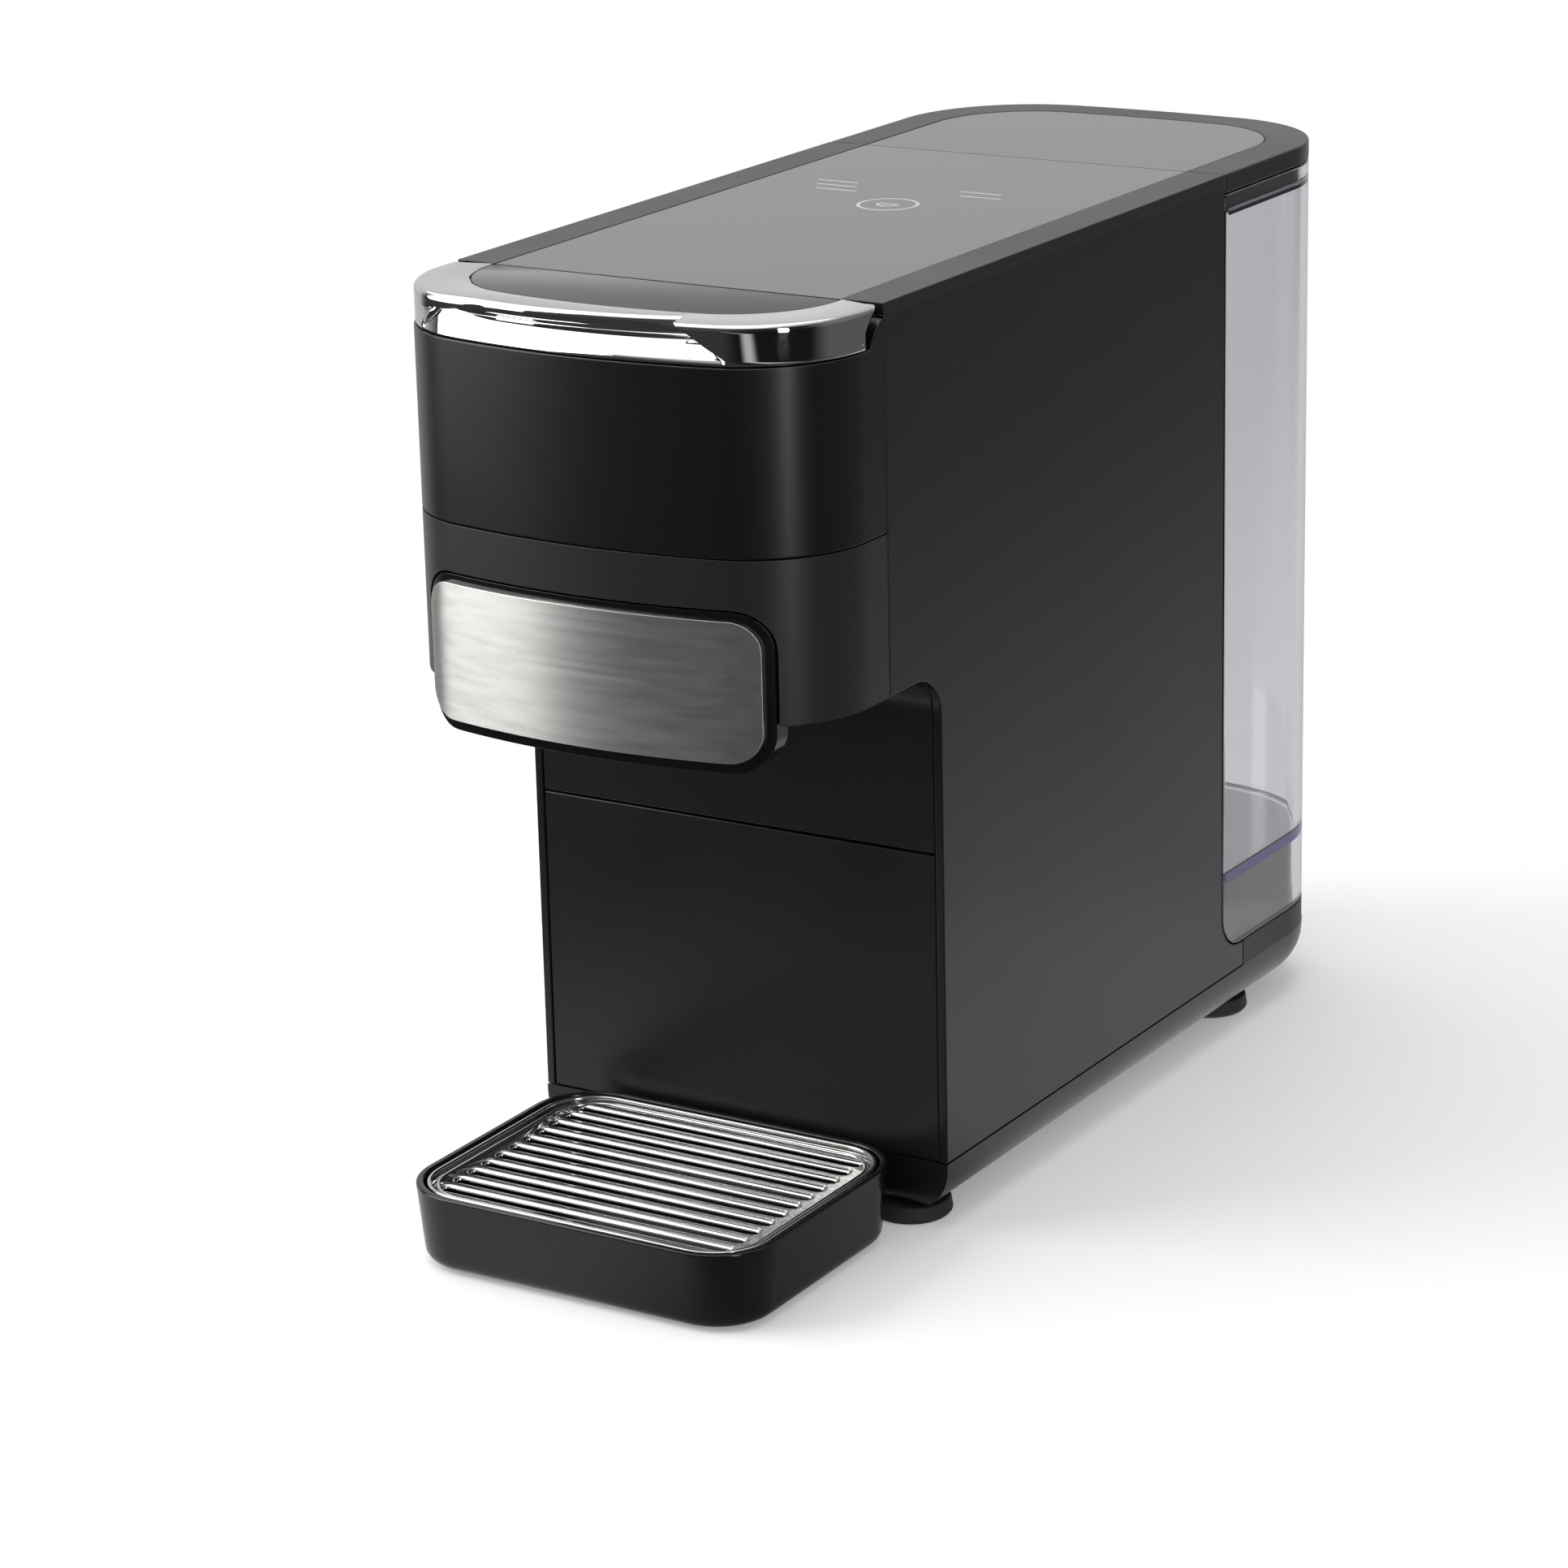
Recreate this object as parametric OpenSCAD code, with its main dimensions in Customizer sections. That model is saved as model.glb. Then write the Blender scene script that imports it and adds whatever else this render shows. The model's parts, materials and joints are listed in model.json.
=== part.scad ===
// Pod coffee machine: narrow upright body, overhanging brew head with a lifting lever and a
// capsule drawer, drip tray in front, lift-off water tank behind. Millimetres, +Z up, the head
// looks along -Y. Lengths along Y are counted from the head seam, the upright joint line where
// the head meets the side panels; place() then centres the whole machine over its base.

/* [Body] */
// Width over the two side panels
body_w = 130; // [122:1:142]
// Height of the flat top above the table
body_h = 261.5; // [255:0.5:280]
// Length of the trunk, from the head seam to the tank seam
trunk_l = 191.5; // [180:0.5:210]
// Wall of the outer panels
panel_t = 2.4; // [2:0.1:3]
// Hairline between neighbouring panels
seam_gap = 0.3; // [0.2:0.05:0.4]
// How far the column stands behind the head seam
column_y = 26.3; // [24:0.1:30]
// Radius of the cove where column and head underside meet
cove_r = 12; // [8:0.5:14]
// Height of the joint between the two column panels
column_seam_z = 107.6; // [90:0.2:120]

/* [Base] */
// Height of the line where the panels stand on the base pan
pan_seam_z = 20; // [18:0.5:22]
// Radius of the pan's lower edge
pan_edge_r = 13; // [9:0.5:14]
// Height of the rubber feet below the pan
foot_h = 5; // [4:0.5:7]
// Radius of a rubber foot
foot_r = 11.7; // [9:0.1:13]
// Sideways place of the feet
foot_x = 47.7; // [44:0.1:49]
// Place of the front feet
foot_front_y = 36; // [36:0.5:50]
// Place of the rear feet
foot_rear_y = 217.7; // [205:0.1:225]

/* [Head] */
// How far the head reaches ahead of its seam
head_reach = 45.5; // [43:0.5:50]
// Corner radius of the head in plan
head_corner_r = 32; // [24:1:36]
// Radius of the bowed head front in plan
head_bow_r = 200; // [160:5:320]
// Height of the head, from the flat top down to its underside
head_h = 102.9; // [101:0.1:106]
// Height of the upper band, from the lever down to the joint with the lower band
upper_band_h = 49; // [47:0.5:51]

/* [Lever] */
// Height of the lever's front
lever_h = 10.5; // [9.8:0.1:11]
// Lever pivot behind the head seam
pivot_y = 6; // [5:0.1:7]
// Lever pivot below the flat top
pivot_drop = 15.5; // [15:0.1:17]
// Radius of the lever shaft
shaft_r = 4; // [3:0.1:4.5]
// Width of the lever's side strips beside the inlay
lever_strip = 12.2; // [10:0.1:14]
// Width of the lever's strip ahead of the inlay
lever_front_strip = 8.3; // [6:0.1:11]
// Thickness of the lever's top skin
lever_skin = 2.9; // [2.4:0.1:3.5]
// Height of the finger groove
grip_h = 5; // [4:0.1:6]
// Depth of the finger groove
grip_d = 5; // [3:0.1:6]
// Left end of the finger groove
grip_left = 47; // [40:1:52]
// Right end of the finger groove
grip_right = 38; // [30:1:42]

/* [Brew group] */
// Brew axis ahead of the head seam
brew_y = 15; // [14:0.1:16]
// Height of the capsule flange above the head's underside
cup_rise = 22.4; // [20:0.2:23]
// Radius of the capsule body that the cup takes
capsule_r = 15.2; // [14:0.1:16]
// Radius of the capsule flange
flange_r = 18.8; // [18:0.1:20]
// Depth of the cup
cup_depth = 24; // [20:0.5:25]
// Radius of the piston's stem
stem_r = 9; // [7:0.1:10]
// Radius of the piston's crown
crown_r = 22; // [20.5:0.1:24]
// Rise of the piston as the lever opens
piston_rise = 6; // [4:0.1:7]
// Angle that the lever opens
lever_open = 44; // [38:1:45]
// Largest radius of the cams, at the closed lever
cam_r = 16; // [14:0.1:17]
// Radial clearance of a shaft or stem in its bore
run_fit = 0.05; // [0.02:0.01:0.1]

/* [Drawer] */
// Width of the drawer's bezel
bezel_w = 105.2; // [98:0.2:108]
// Height of the drawer's bezel
bezel_h = 42.2; // [38:0.2:44]
// How far the drawer's bezel hangs below the head
bezel_drop = 12.4; // [11:0.2:14]
// Thickness of the bezel
bezel_t = 4; // [3:0.1:5]
// Corner radius of the bezel
bezel_r = 10; // [7:0.5:12]
// Black margin around the steel plate
plate_margin = 2; // [1.2:0.1:4]
// How far the steel plate stands proud of the head
plate_proud = 1.4; // [0.8:0.1:1.8]
// Width of the drawer's body
drawer_w = 81; // [76:0.5:84]
// Gap between the bezel and the band around it
bezel_gap = 0.6; // [0.4:0.1:1]

/* [Drip tray] */
// Width of the tray at its rim
tray_w = 110.8; // [100:0.2:118]
// Distance from the tray's front edge to the head seam
tray_reach = 63.8; // [58:0.2:72]
// Height of the tray's rim
tray_z = 22.9; // [21:0.1:26]
// Plan corner radius of the tray
tray_r = 18.4; // [14:0.2:22]
// Wall of the tray
tray_t = 2.2; // [1.6:0.1:2.6]
// How much the tray wall leans inward to its bottom
tray_draft = 1.8; // [0.5:0.1:3]
// Thickness of the grille's sheet
grille_t = 1.2; // [0.8:0.1:1.6]
// Length of a grille slot
slot_l = 91; // [70:1:94]
// Width of a grille slot
slot_w = 3; // [2:0.1:3.6]
// Distance from slot to slot
slot_pitch = 6.6; // [5.5:0.1:8]
// Number of grille slots
slot_n = 11; // [9:1:11]

/* [Water tank] */
// How far the tank reaches behind its seam
tank_reach = 86.5; // [80:0.5:95]
// Plan corner radius of the tank
tank_corner_r = 40; // [30:1:44]
// Radius of the bowed back in plan
tank_bow_r = 400; // [300:10:600]
// Wall of the tank
tank_t = 2.6; // [2:0.1:3]
// Height of the tank's lower edge
tank_z = 28.2; // [27:0.1:30]
// Height of the tank's floor above its lower edge
tank_floor_h = 20.8; // [18:0.1:23]
// Radius of the tank's lower front corner seen from the side
tank_foot_r = 12; // [8:0.5:14]
// Thickness of the lid's visible edge
lid_t = 5.6; // [4.5:0.1:6.5]
// Depth of the lid's inner skirt
lid_skirt = 6.4; // [4:0.1:8]
// Width of the matt margin around the glossy top
margin_w = 12.2; // [10:0.1:15]

/* [Hidden] */

eps = 0.01;
big = 600;
half_w = body_w / 2;
in_w = half_w - panel_t;                 // inner face of a side panel
fit_w = in_w - seam_gap;                 // half width of what stands between the panels
rear_y = trunk_l + tank_reach;
mid_y = (rear_y - tray_reach) / 2;
lever_z = body_h - lever_h;              // lower edge of the lever
band_seam_z = lever_z - upper_band_h;    // joint between upper and lower band
head_z = body_h - head_h;                // underside of the head
cup_top_z = head_z + cup_rise;           // capsule flange
bezel_z = head_z - bezel_drop;           // lower edge of the drawer's bezel
pivot_z = body_h - pivot_drop;
frame_h = 5.5;                           // top frame, from its underside to the flat top
glass_t = 2.9;
board_w = 68;                            // window for the touch board
board_l = 80;
board_y = trunk_l / 2 - 13.75;
board_t = 1.6;
skin_z = body_h - lever_skin;
lever_clear = norm([pivot_y, pivot_drop]) + seam_gap;  // lever parts behind the seam stay outside this radius
cheek_r = lever_clear - 3.6;             // round cheek of the upper band beside the lever's end
lever_end_r = lever_clear + 0.9;         // hollow end of the lever's side wall
cheek_t = 3.4;
inlay_bow_r = 180;
inlay_corner_r = 27.5;
tank_y = trunk_l + 0.4;                  // front face of the tank
dock_seam = 14.4;                        // upright joint between side panel and tank dock
lid_z = body_h - lid_t;
tank_top = lid_z - seam_gap;
tank_floor = tank_z + tank_floor_h;
valve_y = trunk_l + 42;
valve_r = 6;
pan_wall = 2.4;
pan_floor = foot_h + pan_wall;
post_w = 10;                             // chassis posts
post_y = column_y + seam_gap + panel_t;  // back of the column panels, where the chassis starts
post_back = trunk_l - 15;
leg_x = 33;
leg_w = 7;
shelf_z = 120;
shelf_t = 3;
crown_z = cup_top_z + 0.6;
guide_z = band_seam_z + 4;               // plate that guides the piston's stem
guide_t = 6;
yoke_z = guide_z + guide_t + 7;
follower_z = pivot_z - cam_r - 0.35;
rail_z = head_z + 11.4;                  // rails that carry the drawer
rail_t = 3;
screw_heights = [band_seam_z + 2, band_seam_z + 30];
screw_r = 1.8;
drawer_z = head_z - 8.6;
drawer_back = 13;
ceiling_y = drawer_back + 0.8;           // where the head's ceiling ends and the cove panel starts
cup_r = 24.5;
plate_w = bezel_w - 2 * plate_margin;
wall_x = half_w - 19.2;                  // inner face of the brew frame's side walls
wall_t = 3.8;
arm_x = half_w - 14.6;
arm_t = 4;
cam_x = 8;
cam_t = 6;
cam_turn = 60;
tongue_w = 60;
tongue_h = 5;
tongue_z = 9.4;
tray_y0 = -tray_reach;
tray_bottom = 0.8;
tray_edge_r = 4;
tray_back = column_y - 1.8;              // rear edge of the tray, just ahead of the column
ledge_z = tray_z - 3.4;                  // ledge that carries the grille
rim_w = 3;
lip_w = 1.2;                             // upright lip of the grille
pan_front_r = 5;
pan_inset = 0.6;                         // the pan's straight back lies this far inside the tank's bow
gland_x = -30;
gland_z = 13.5;
gland_r = 4.4;

// ---------------------------------------------------------------- helpers
function arc(cx, cy, r, a0, a1, n) = [for (i = [0:n]) let (a = a0 + (a1 - a0) * i / n)
    [cx + r * cos(a), cy + r * sin(a)]];

// Plan of a bowed end that points along -Y: half width hw, reach f, bow and corner radii, inset e, back edge yb
function corner_y(hw, f, bow, cr) = bow - f - sqrt(pow(bow - cr, 2) - pow(hw - cr, 2));

module bow_plan(hw, f, bow, cr, e, yb) intersection() {
    by = bow - f;
    cx = hw - cr;
    cy = corner_y(hw, f, bow, cr);
    k = (bow + 40) / norm([cx, by - cy]);
    union() {
        for (s = [-1, 1]) translate([s * cx, cy]) circle(r = cr - e, $fn = 64);
        intersection() {
            translate([0, by]) circle(r = bow - e, $fn = 360);
            polygon([[0, by], [-cx * k, by - (by - cy) * k], [cx * k, by - (by - cy) * k]]);
        }
        polygon([[e - hw, cy], [hw - e, cy], [hw - e, yb], [e - hw, yb]]);
        polygon([[-cx, cy], [cx, cy], [0, by]]);
    }
    translate([-hw, yb - big]) square([2 * hw, big]);
}

module head_plan(e, yb) bow_plan(half_w, head_reach, head_bow_r, head_corner_r, e, yb);
module tank_plan(e, yf) mirror([0, 1]) bow_plan(half_w, rear_y, tank_bow_r, tank_corner_r, e, -yf);

function round_rect(x0, y0, x1, y1, r, n = 8) = concat(
    arc(x1 - r, y1 - r, r, 0, 90, n), arc(x0 + r, y1 - r, r, 90, 180, n),
    arc(x0 + r, y0 + r, r, 180, 270, n), arc(x1 - r, y0 + r, r, 270, 360, n));

module place() translate([0, -mid_y, 0]) children();
module slab(z0, z1) translate([0, 0, z0]) linear_extrude(z1 - z0) children();
// A profile drawn as (y, z), extruded along X
module across(x0, x1) translate([x0, 0, 0]) rotate([90, 0, 90]) linear_extrude(x1 - x0) children();
// A profile drawn as (x, z), extruded along Y
module along(y0, y1) translate([0, y1, 0]) rotate([90, 0, 0]) linear_extrude(y1 - y0) children();
module block(a, b) translate(a) cube(b - a);
module both() { children(); mirror([1, 0, 0]) children(); }
module tube(z0, z1, ro, ri) difference() {
    translate([0, 0, z0]) cylinder(h = z1 - z0, r = ro, $fn = 64);
    translate([0, 0, z0 - 1]) cylinder(h = z1 - z0 + 2, r = ri, $fn = 64);
}
module rod_x(x0, x1, y, z, r) translate([x0, y, z]) rotate([0, 90, 0]) cylinder(h = x1 - x0, r = r, $fn = 64);
module rod_y(y0, y1, x, z, r) translate([x, y0, z]) rotate([-90, 0, 0]) cylinder(h = y1 - y0, r = r, $fn = 64);
module run(p, q, r) {
    d = q - p;
    translate(p) rotate([0, acos(d[2] / norm(d)), atan2(d[1], d[0])]) cylinder(h = norm(d), r = r, $fn = 24);
}
module hose(path, r) {
    for (i = [0:len(path) - 2]) run(path[i], path[i + 1], r);
    for (i = [1:len(path) - 2]) translate(path[i]) sphere(r = r * 1.001, $fn = 24);
}

// ---------------------------------------------------------------- base
function pan_flank(x, e) = concat(
    arc(x - pan_edge_r, foot_h + pan_edge_r, pan_edge_r - e, -90, 0, 8), [[x - e, pan_seam_z + 4 * e]]);
function pan_front(e) = concat([[column_y + e, pan_seam_z + 40]],
    arc(column_y + pan_front_r, foot_h + pan_front_r, pan_front_r - e, 180, 270, 4),
    [[rear_y + 5, foot_h + e], [rear_y + 5, pan_seam_z + 40]]);

// Pan body: two straight sweeps and a revolved quarter in each rear corner
module pan_form(e) intersection() {
    cx = half_w - tank_corner_r;
    cy = rear_y - pan_inset - tank_corner_r;
    top = pan_seam_z + 4 * e;
    flank = pan_flank(tank_corner_r, e);
    union() {
        along(column_y, cy) polygon(both_flanks(pan_flank(half_w, e)));
        both() intersection() {
            translate([cx, cy, 0]) rotate_extrude($fn = 96) polygon(concat([[0, foot_h + e]], flank, [[0, top]]));
            block([cx, cy, 0], [half_w + 5, rear_y + 5, top + 1]);
        }
        across(-cx, cx)
            polygon(concat([[cy - 20, foot_h + e]], [for (p = flank) p + [cy, 0]], [[cy - 20, top]]));
    }
    across(-half_w - 5, half_w + 5) polygon(pan_front(e));
}

module base_pan() color([0.03, 0.03, 0.033]) difference() {
    pan_form(0);
    difference() {
        pan_form(pan_wall);
        for (x = [-1, 1], y = [foot_front_y, foot_rear_y])
            translate([x * foot_x, y, foot_h]) cylinder(h = pan_wall + 3, r = 6, $fn = 48);
    }
    block([-tongue_w / 2 - 0.6, column_y - 1, tongue_z - 0.4],
          [tongue_w / 2 + 0.6, column_y + pan_wall + 1, tongue_z + tongue_h + 0.4]);
    rod_y(rear_y - 11, rear_y + 5, gland_x, gland_z, gland_r);
    for (x = [-1, 1], y = [foot_front_y, foot_rear_y])
        translate([x * foot_x, y, foot_h - 1]) cylinder(h = pan_wall + 5, r = 1.6, $fn = 32);
}

module rubber_feet() color([0.02, 0.02, 0.02])
    for (x = [-1, 1], y = [foot_front_y, foot_rear_y]) translate([x * foot_x, y, 0])
        rotate_extrude($fn = 64) polygon([[3.4, 0], [foot_r - 1.2, 0], [foot_r, 1.2], [foot_r - 0.6, foot_h],
            [1.7, foot_h], [1.7, foot_h - 1.6], [3.4, foot_h - 1.6]]);

module base_screws() color([0.6, 0.6, 0.62])
    for (x = [-1, 1], y = [foot_front_y, foot_rear_y]) translate([x * foot_x, y, 0]) {
        translate([0, 0, foot_h - 3.2]) cylinder(h = 1.6, r = 3.2, $fn = 32);
        translate([0, 0, foot_h - 1.6]) cylinder(h = 7, r = 1.55, $fn = 32);
    }

module cord_gland() color([0.02, 0.02, 0.02]) difference() {
    union() {
        rod_y(rear_y - 13, rear_y - 1.2, gland_x, gland_z, gland_r - 0.05);
        rod_y(rear_y - 13, rear_y - 11.5, gland_x, gland_z, gland_r + 1);
    }
    rod_y(rear_y - 14, rear_y, gland_x, gland_z, gland_r - 1.2);
}

// ---------------------------------------------------------------- shell
function side_profile() = concat(
    [[seam_gap / 2, head_z]],
    arc(column_y - cove_r, head_z - cove_r, cove_r, 90, 0, 8),
    [[column_y, pan_seam_z + seam_gap], [trunk_l + dock_seam, pan_seam_z + seam_gap],
     [trunk_l + dock_seam, tank_z - seam_gap]],
    arc(trunk_l + tank_foot_r, tank_z - seam_gap + tank_foot_r, tank_foot_r, -90, -180, 8),
    [[trunk_l, body_h - frame_h + 2.5], [seam_gap / 2, body_h - frame_h + 2.5]]);

module side_panel() color([0.03, 0.03, 0.033]) {
    across(in_w, half_w) polygon(side_profile());
    // snap hooks beside the posts
    for (z = [60, head_z - 9, body_h - 32], y = [post_y + post_w + 1, post_back - 3.5])
        block([in_w - 4, y, z], [in_w + eps, y + 2.5, z + 8]);
}
module side_panel_right() side_panel();
module side_panel_left() mirror([1, 0, 0]) side_panel();

function cove_line(e, z0, y0) = concat([[column_y + e, z0]],
    arc(column_y - cove_r, head_z - cove_r, cove_r + e, 0, 90, 8), [[y0, head_z + e]]);

module column_panel_lower() color([0.035, 0.035, 0.037]) {
    block([-fit_w, column_y + seam_gap, pan_seam_z + seam_gap], [fit_w, post_y - eps, column_seam_z - seam_gap]);
    for (x = [-40, 40]) block([x - 4, post_y - 1, 40], [x + 4, post_y + 3, 44]);      // catches
}

module column_panel_upper() color([0.035, 0.035, 0.037]) {
    front = cove_line(seam_gap, column_seam_z + seam_gap, ceiling_y);
    back = cove_line(seam_gap + panel_t - eps, column_seam_z + seam_gap, ceiling_y);
    across(-fit_w, fit_w) polygon(concat(front, [for (i = [len(back) - 1:-1:0]) back[i]]));
}

module top_frame() color([0.05, 0.05, 0.05]) difference() {
    union() {
        block([-half_w, seam_gap / 2, body_h - frame_h + 2.5 + eps], [half_w, trunk_l, body_h]);
        block([-fit_w, seam_gap / 2, body_h - frame_h], [fit_w, trunk_l, body_h - 1]);
    }
    block([-half_w + margin_w, -1, body_h - glass_t - 0.1], [half_w - margin_w, trunk_l + 1, body_h + 1]);
    block([-board_w / 2, board_y, body_h - frame_h - 1], [board_w / 2, board_y + board_l, body_h]);
}

module touch_glass() color([0.12, 0.12, 0.13])
    block([-half_w + margin_w + 0.15, seam_gap / 2, body_h - glass_t], [half_w - margin_w - 0.15, trunk_l, body_h - 0.1]);

module touch_board() color([0.02, 0.25, 0.12]) {
    z = body_h - glass_t - 0.1;
    inset = 0.4;                                                         // play in its window
    block([inset - board_w / 2, board_y + inset, z - board_t], [board_w / 2 - inset, board_y + board_l - inset, z]);
    for (i = [-2:2]) translate([13 * i, board_y + 36, z]) block([-3, 0, -2 * board_t], [3, 6, eps - board_t]);
    translate([0, board_y + 8, z]) block([-10, 0, -6], [10, 8, eps - board_t]);
}

module rear_cover() color([0.03, 0.03, 0.033]) difference() {
    union() {
        block([-fit_w, trunk_l - panel_t, pan_seam_z + seam_gap], [fit_w, trunk_l, body_h - frame_h - eps]);
        for (x = [-1, 1]) block([x * (fit_w - 8) - 2, post_back + post_w, 60],
            [x * (fit_w - 8) + 2, trunk_l - panel_t + eps, body_h - 22]);
    }
    rod_y(trunk_l - 5, trunk_l + 1, meter_x, feed_z, 3);
}

module chassis() color([0.1, 0.1, 0.1]) {
    top = body_h - frame_h - eps;
    both() {
        for (y = [post_y, post_back]) {
            leg_y = max(y, column_y + pan_edge_r + 0.4);                 // behind the pan's rounded front edge
            block([fit_w - post_w, y, pan_seam_z], [fit_w, y + post_w, top]);
            block([leg_x, leg_y, pan_floor], [leg_x + leg_w, leg_y + leg_w, pan_seam_z + 8]);
            block([leg_x, y, pan_seam_z + 2], [fit_w, leg_y + leg_w, pan_seam_z + 8]);
        }
        block([fit_w - post_w, post_y, top - 8], [fit_w, post_back + post_w, top]);
    }
    difference() {
        block([-fit_w, post_y, shelf_z], [fit_w, post_back + post_w, shelf_z + shelf_t]);
        block([-12, post_y + 100, shelf_z - 1], [12, post_y + 124, shelf_z + shelf_t + 1]);
        translate([hose_x, hose_y, shelf_z - 1]) cylinder(h = shelf_t + 2, r = 5, $fn = 32);
    }
}

// ---------------------------------------------------------------- head
module cheek_area(r) intersection() {
    translate([pivot_y, pivot_z]) circle(r = r, $fn = 96);
    translate([-20, lever_z - 6]) square([20 - seam_gap / 2, 30]);
}

module head_band_upper() color([0.03, 0.03, 0.033]) {
    deck_z = pivot_z - 12.5;
    difference() {
        slab(band_seam_z + seam_gap / 2, lever_z - 0.2) head_plan(0, -seam_gap / 2);
        slab(band_seam_z - 1, deck_z) head_plan(panel_t, 1);
        slab(deck_z + 2.4, lever_z + 1) head_plan(panel_t, 1);
        intersection() {
            slab(deck_z - 1, deck_z + 3) head_plan(panel_t, 1);
            union() {
                both() block([wall_x - 0.5, -head_reach, deck_z - 1], [arm_x + arm_t + 0.6, 1, deck_z + 3]);
                both() block([cam_x - 1, -16, deck_z - 1], [cam_x + cam_t + 1, 1, deck_z + 3]);
                block([-21, -brew_y - 9, deck_z - 1], [12, 1, deck_z + 3]);
            }
        }
    }
    both() across(half_w - cheek_t, half_w) difference() {
        cheek_area(cheek_r);
        translate([-30, lever_z - 20]) square([40, 19.8]);
    }
}

module bezel_front(m, z0) polygon(round_rect(-bezel_w / 2 + m, z0, bezel_w / 2 - m, bezel_z + bezel_h - m, bezel_r - m));

module head_band_lower() color([0.03, 0.03, 0.033]) difference() {
    union() {
        slab(head_z, band_seam_z - seam_gap / 2) head_plan(0, -seam_gap / 2);
        block([-fit_w, -1, head_z], [fit_w, ceiling_y - seam_gap, head_z + panel_t]);
    }
    slab(head_z + 2.4, band_seam_z + 1) head_plan(panel_t, 1);
    block([-drawer_w / 2 - 1.3, -head_reach - 1, head_z - 1], [drawer_w / 2 + 1.3, ceiling_y, head_z + 3]);
    along(-head_reach - 5, -18) bezel_front(-bezel_gap, bezel_z - 30);
}

module brew_frame() color([0.55, 0.56, 0.58]) difference() {
    union() {
        both() intersection() {
            block([wall_x, -head_reach, rail_z - 4], [wall_x + wall_t, post_y, body_h - frame_h - 2]);
            slab(0, big) head_plan(bezel_t + 2, big);
            across(0, half_w) polygon([[-head_reach, rail_z - 4], [post_y, rail_z - 4], [post_y, body_h - frame_h - 2],
                [-2, body_h - frame_h - 2], [-head_reach, band_seam_z + 8]]);
        }
        both() intersection() {
            block([drawer_w / 2 + 1, -head_reach, rail_z], [wall_x + eps, 16, rail_z + rail_t]);
            slab(0, big) head_plan(bezel_t + 2, big);
        }
        block([-wall_x - eps, -brew_y - 18, guide_z], [wall_x + eps, post_y, guide_z + guide_t]);
        translate([0, -brew_y, guide_z - 3]) cylinder(h = guide_t + 4, r = stem_r + 4, $fn = 64);
        both() block([wall_x + wall_t - eps, post_y - 3, band_seam_z - 6], [fit_w, post_y, band_seam_z + 38]);
    }
    translate([0, -brew_y, guide_z - 5]) cylinder(h = guide_t + 10, r = stem_r + run_fit, $fn = 96);
    rod_x(-half_w, half_w, pivot_y, pivot_z, shaft_r + run_fit);
    for (s = [-1, 1], z = screw_heights) rod_y(post_y - 5, post_y + 1, s * (fit_w - post_w / 2), z, screw_r + 0.1);
}

module frame_screws() color([0.6, 0.6, 0.62]) for (s = [-1, 1], z = screw_heights) {
    rod_y(post_y - 5, post_y - 3, s * (fit_w - post_w / 2), z, 3.4);
    rod_y(post_y - 3, post_y, s * (fit_w - post_w / 2), z, screw_r);
}

// ---------------------------------------------------------------- lever
module groove_form() {
    z = lever_z + 1.6;
    along(-head_reach - 5, -head_reach / 4)
        polygon([[-grip_left - 5, z], [grip_right + 7, z], [grip_right, z + grip_h], [-grip_left, z + grip_h]]);
}

module lever_frame() color([0.75, 0.76, 0.78]) difference() {
    slab(lever_z + 0.1, body_h) head_plan(0, 0);
    difference() {                                                       // hollow underside
        slab(lever_z - 1, skin_z) head_plan(3.2, 1);
        intersection() {                                                 // floor of the finger groove
            translate([0, 0, 1.6]) slab(lever_z, lever_z + grip_h + 1.6) head_plan(0, -2);
            difference() {
                slab(lever_z, body_h) head_plan(0, -2);
                slab(lever_z - 1, body_h + 1) head_plan(grip_d + 2.4, 0);
            }
            block([-grip_left - 8, -head_reach, lever_z], [grip_right + 9, 0, body_h]);
        }
    }
    intersection() {                                                     // finger groove
        groove_form();
        difference() {
            slab(lever_z, body_h) head_plan(-1, 0);
            slab(lever_z - 1, body_h + 1) head_plan(grip_d, 1);
        }
    }
    slab(body_h - 1.8, body_h + 1) inlay_plan(0);
    rod_x(-half_w + cheek_t + seam_gap, half_w - cheek_t - seam_gap, pivot_y, pivot_z, lever_clear);
    both() rod_x(half_w - cheek_t - seam_gap - eps, half_w + 1, pivot_y, pivot_z, lever_end_r);
}

module inlay_plan(e) {
    hw = half_w - lever_strip;
    by = inlay_bow_r - head_reach + lever_front_strip;
    cx = hw - inlay_corner_r;
    cy = corner_y(hw, head_reach - lever_front_strip, inlay_bow_r, inlay_corner_r);
    turn = atan2(cx, by - cy);
    polygon(concat([[hw - e, 0]], arc(cx, cy, inlay_corner_r - e, 0, turn - 90, 14),
        arc(0, by, inlay_bow_r - e, turn - 91, -turn - 89, 14),
        arc(-cx, cy, inlay_corner_r - e, -turn - 90, -180, 14), [[e - hw, 0]]));
}

module lever_inlay() color([0.1, 0.1, 0.1]) difference() {
    slab(body_h - 1.8, body_h - 0.1) inlay_plan(0.12);
    rod_x(-half_w, half_w, pivot_y, pivot_z, lever_clear);
}

module lever_arms() color([0.5, 0.5, 0.52]) both() difference() {
    union() {
        across(arm_x, arm_x + arm_t) polygon([[pivot_y, pivot_z - 8], [-21, pivot_z - 5], [-21, skin_z],
            [-13, skin_z], [-8, pivot_z + 1], [pivot_y, pivot_z + 1]]);
        rod_x(arm_x, arm_x + arm_t, pivot_y, pivot_z, 9);
    }
    rod_x(arm_x - 1, arm_x + arm_t + 1, pivot_y, pivot_z, shaft_r);
}

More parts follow.
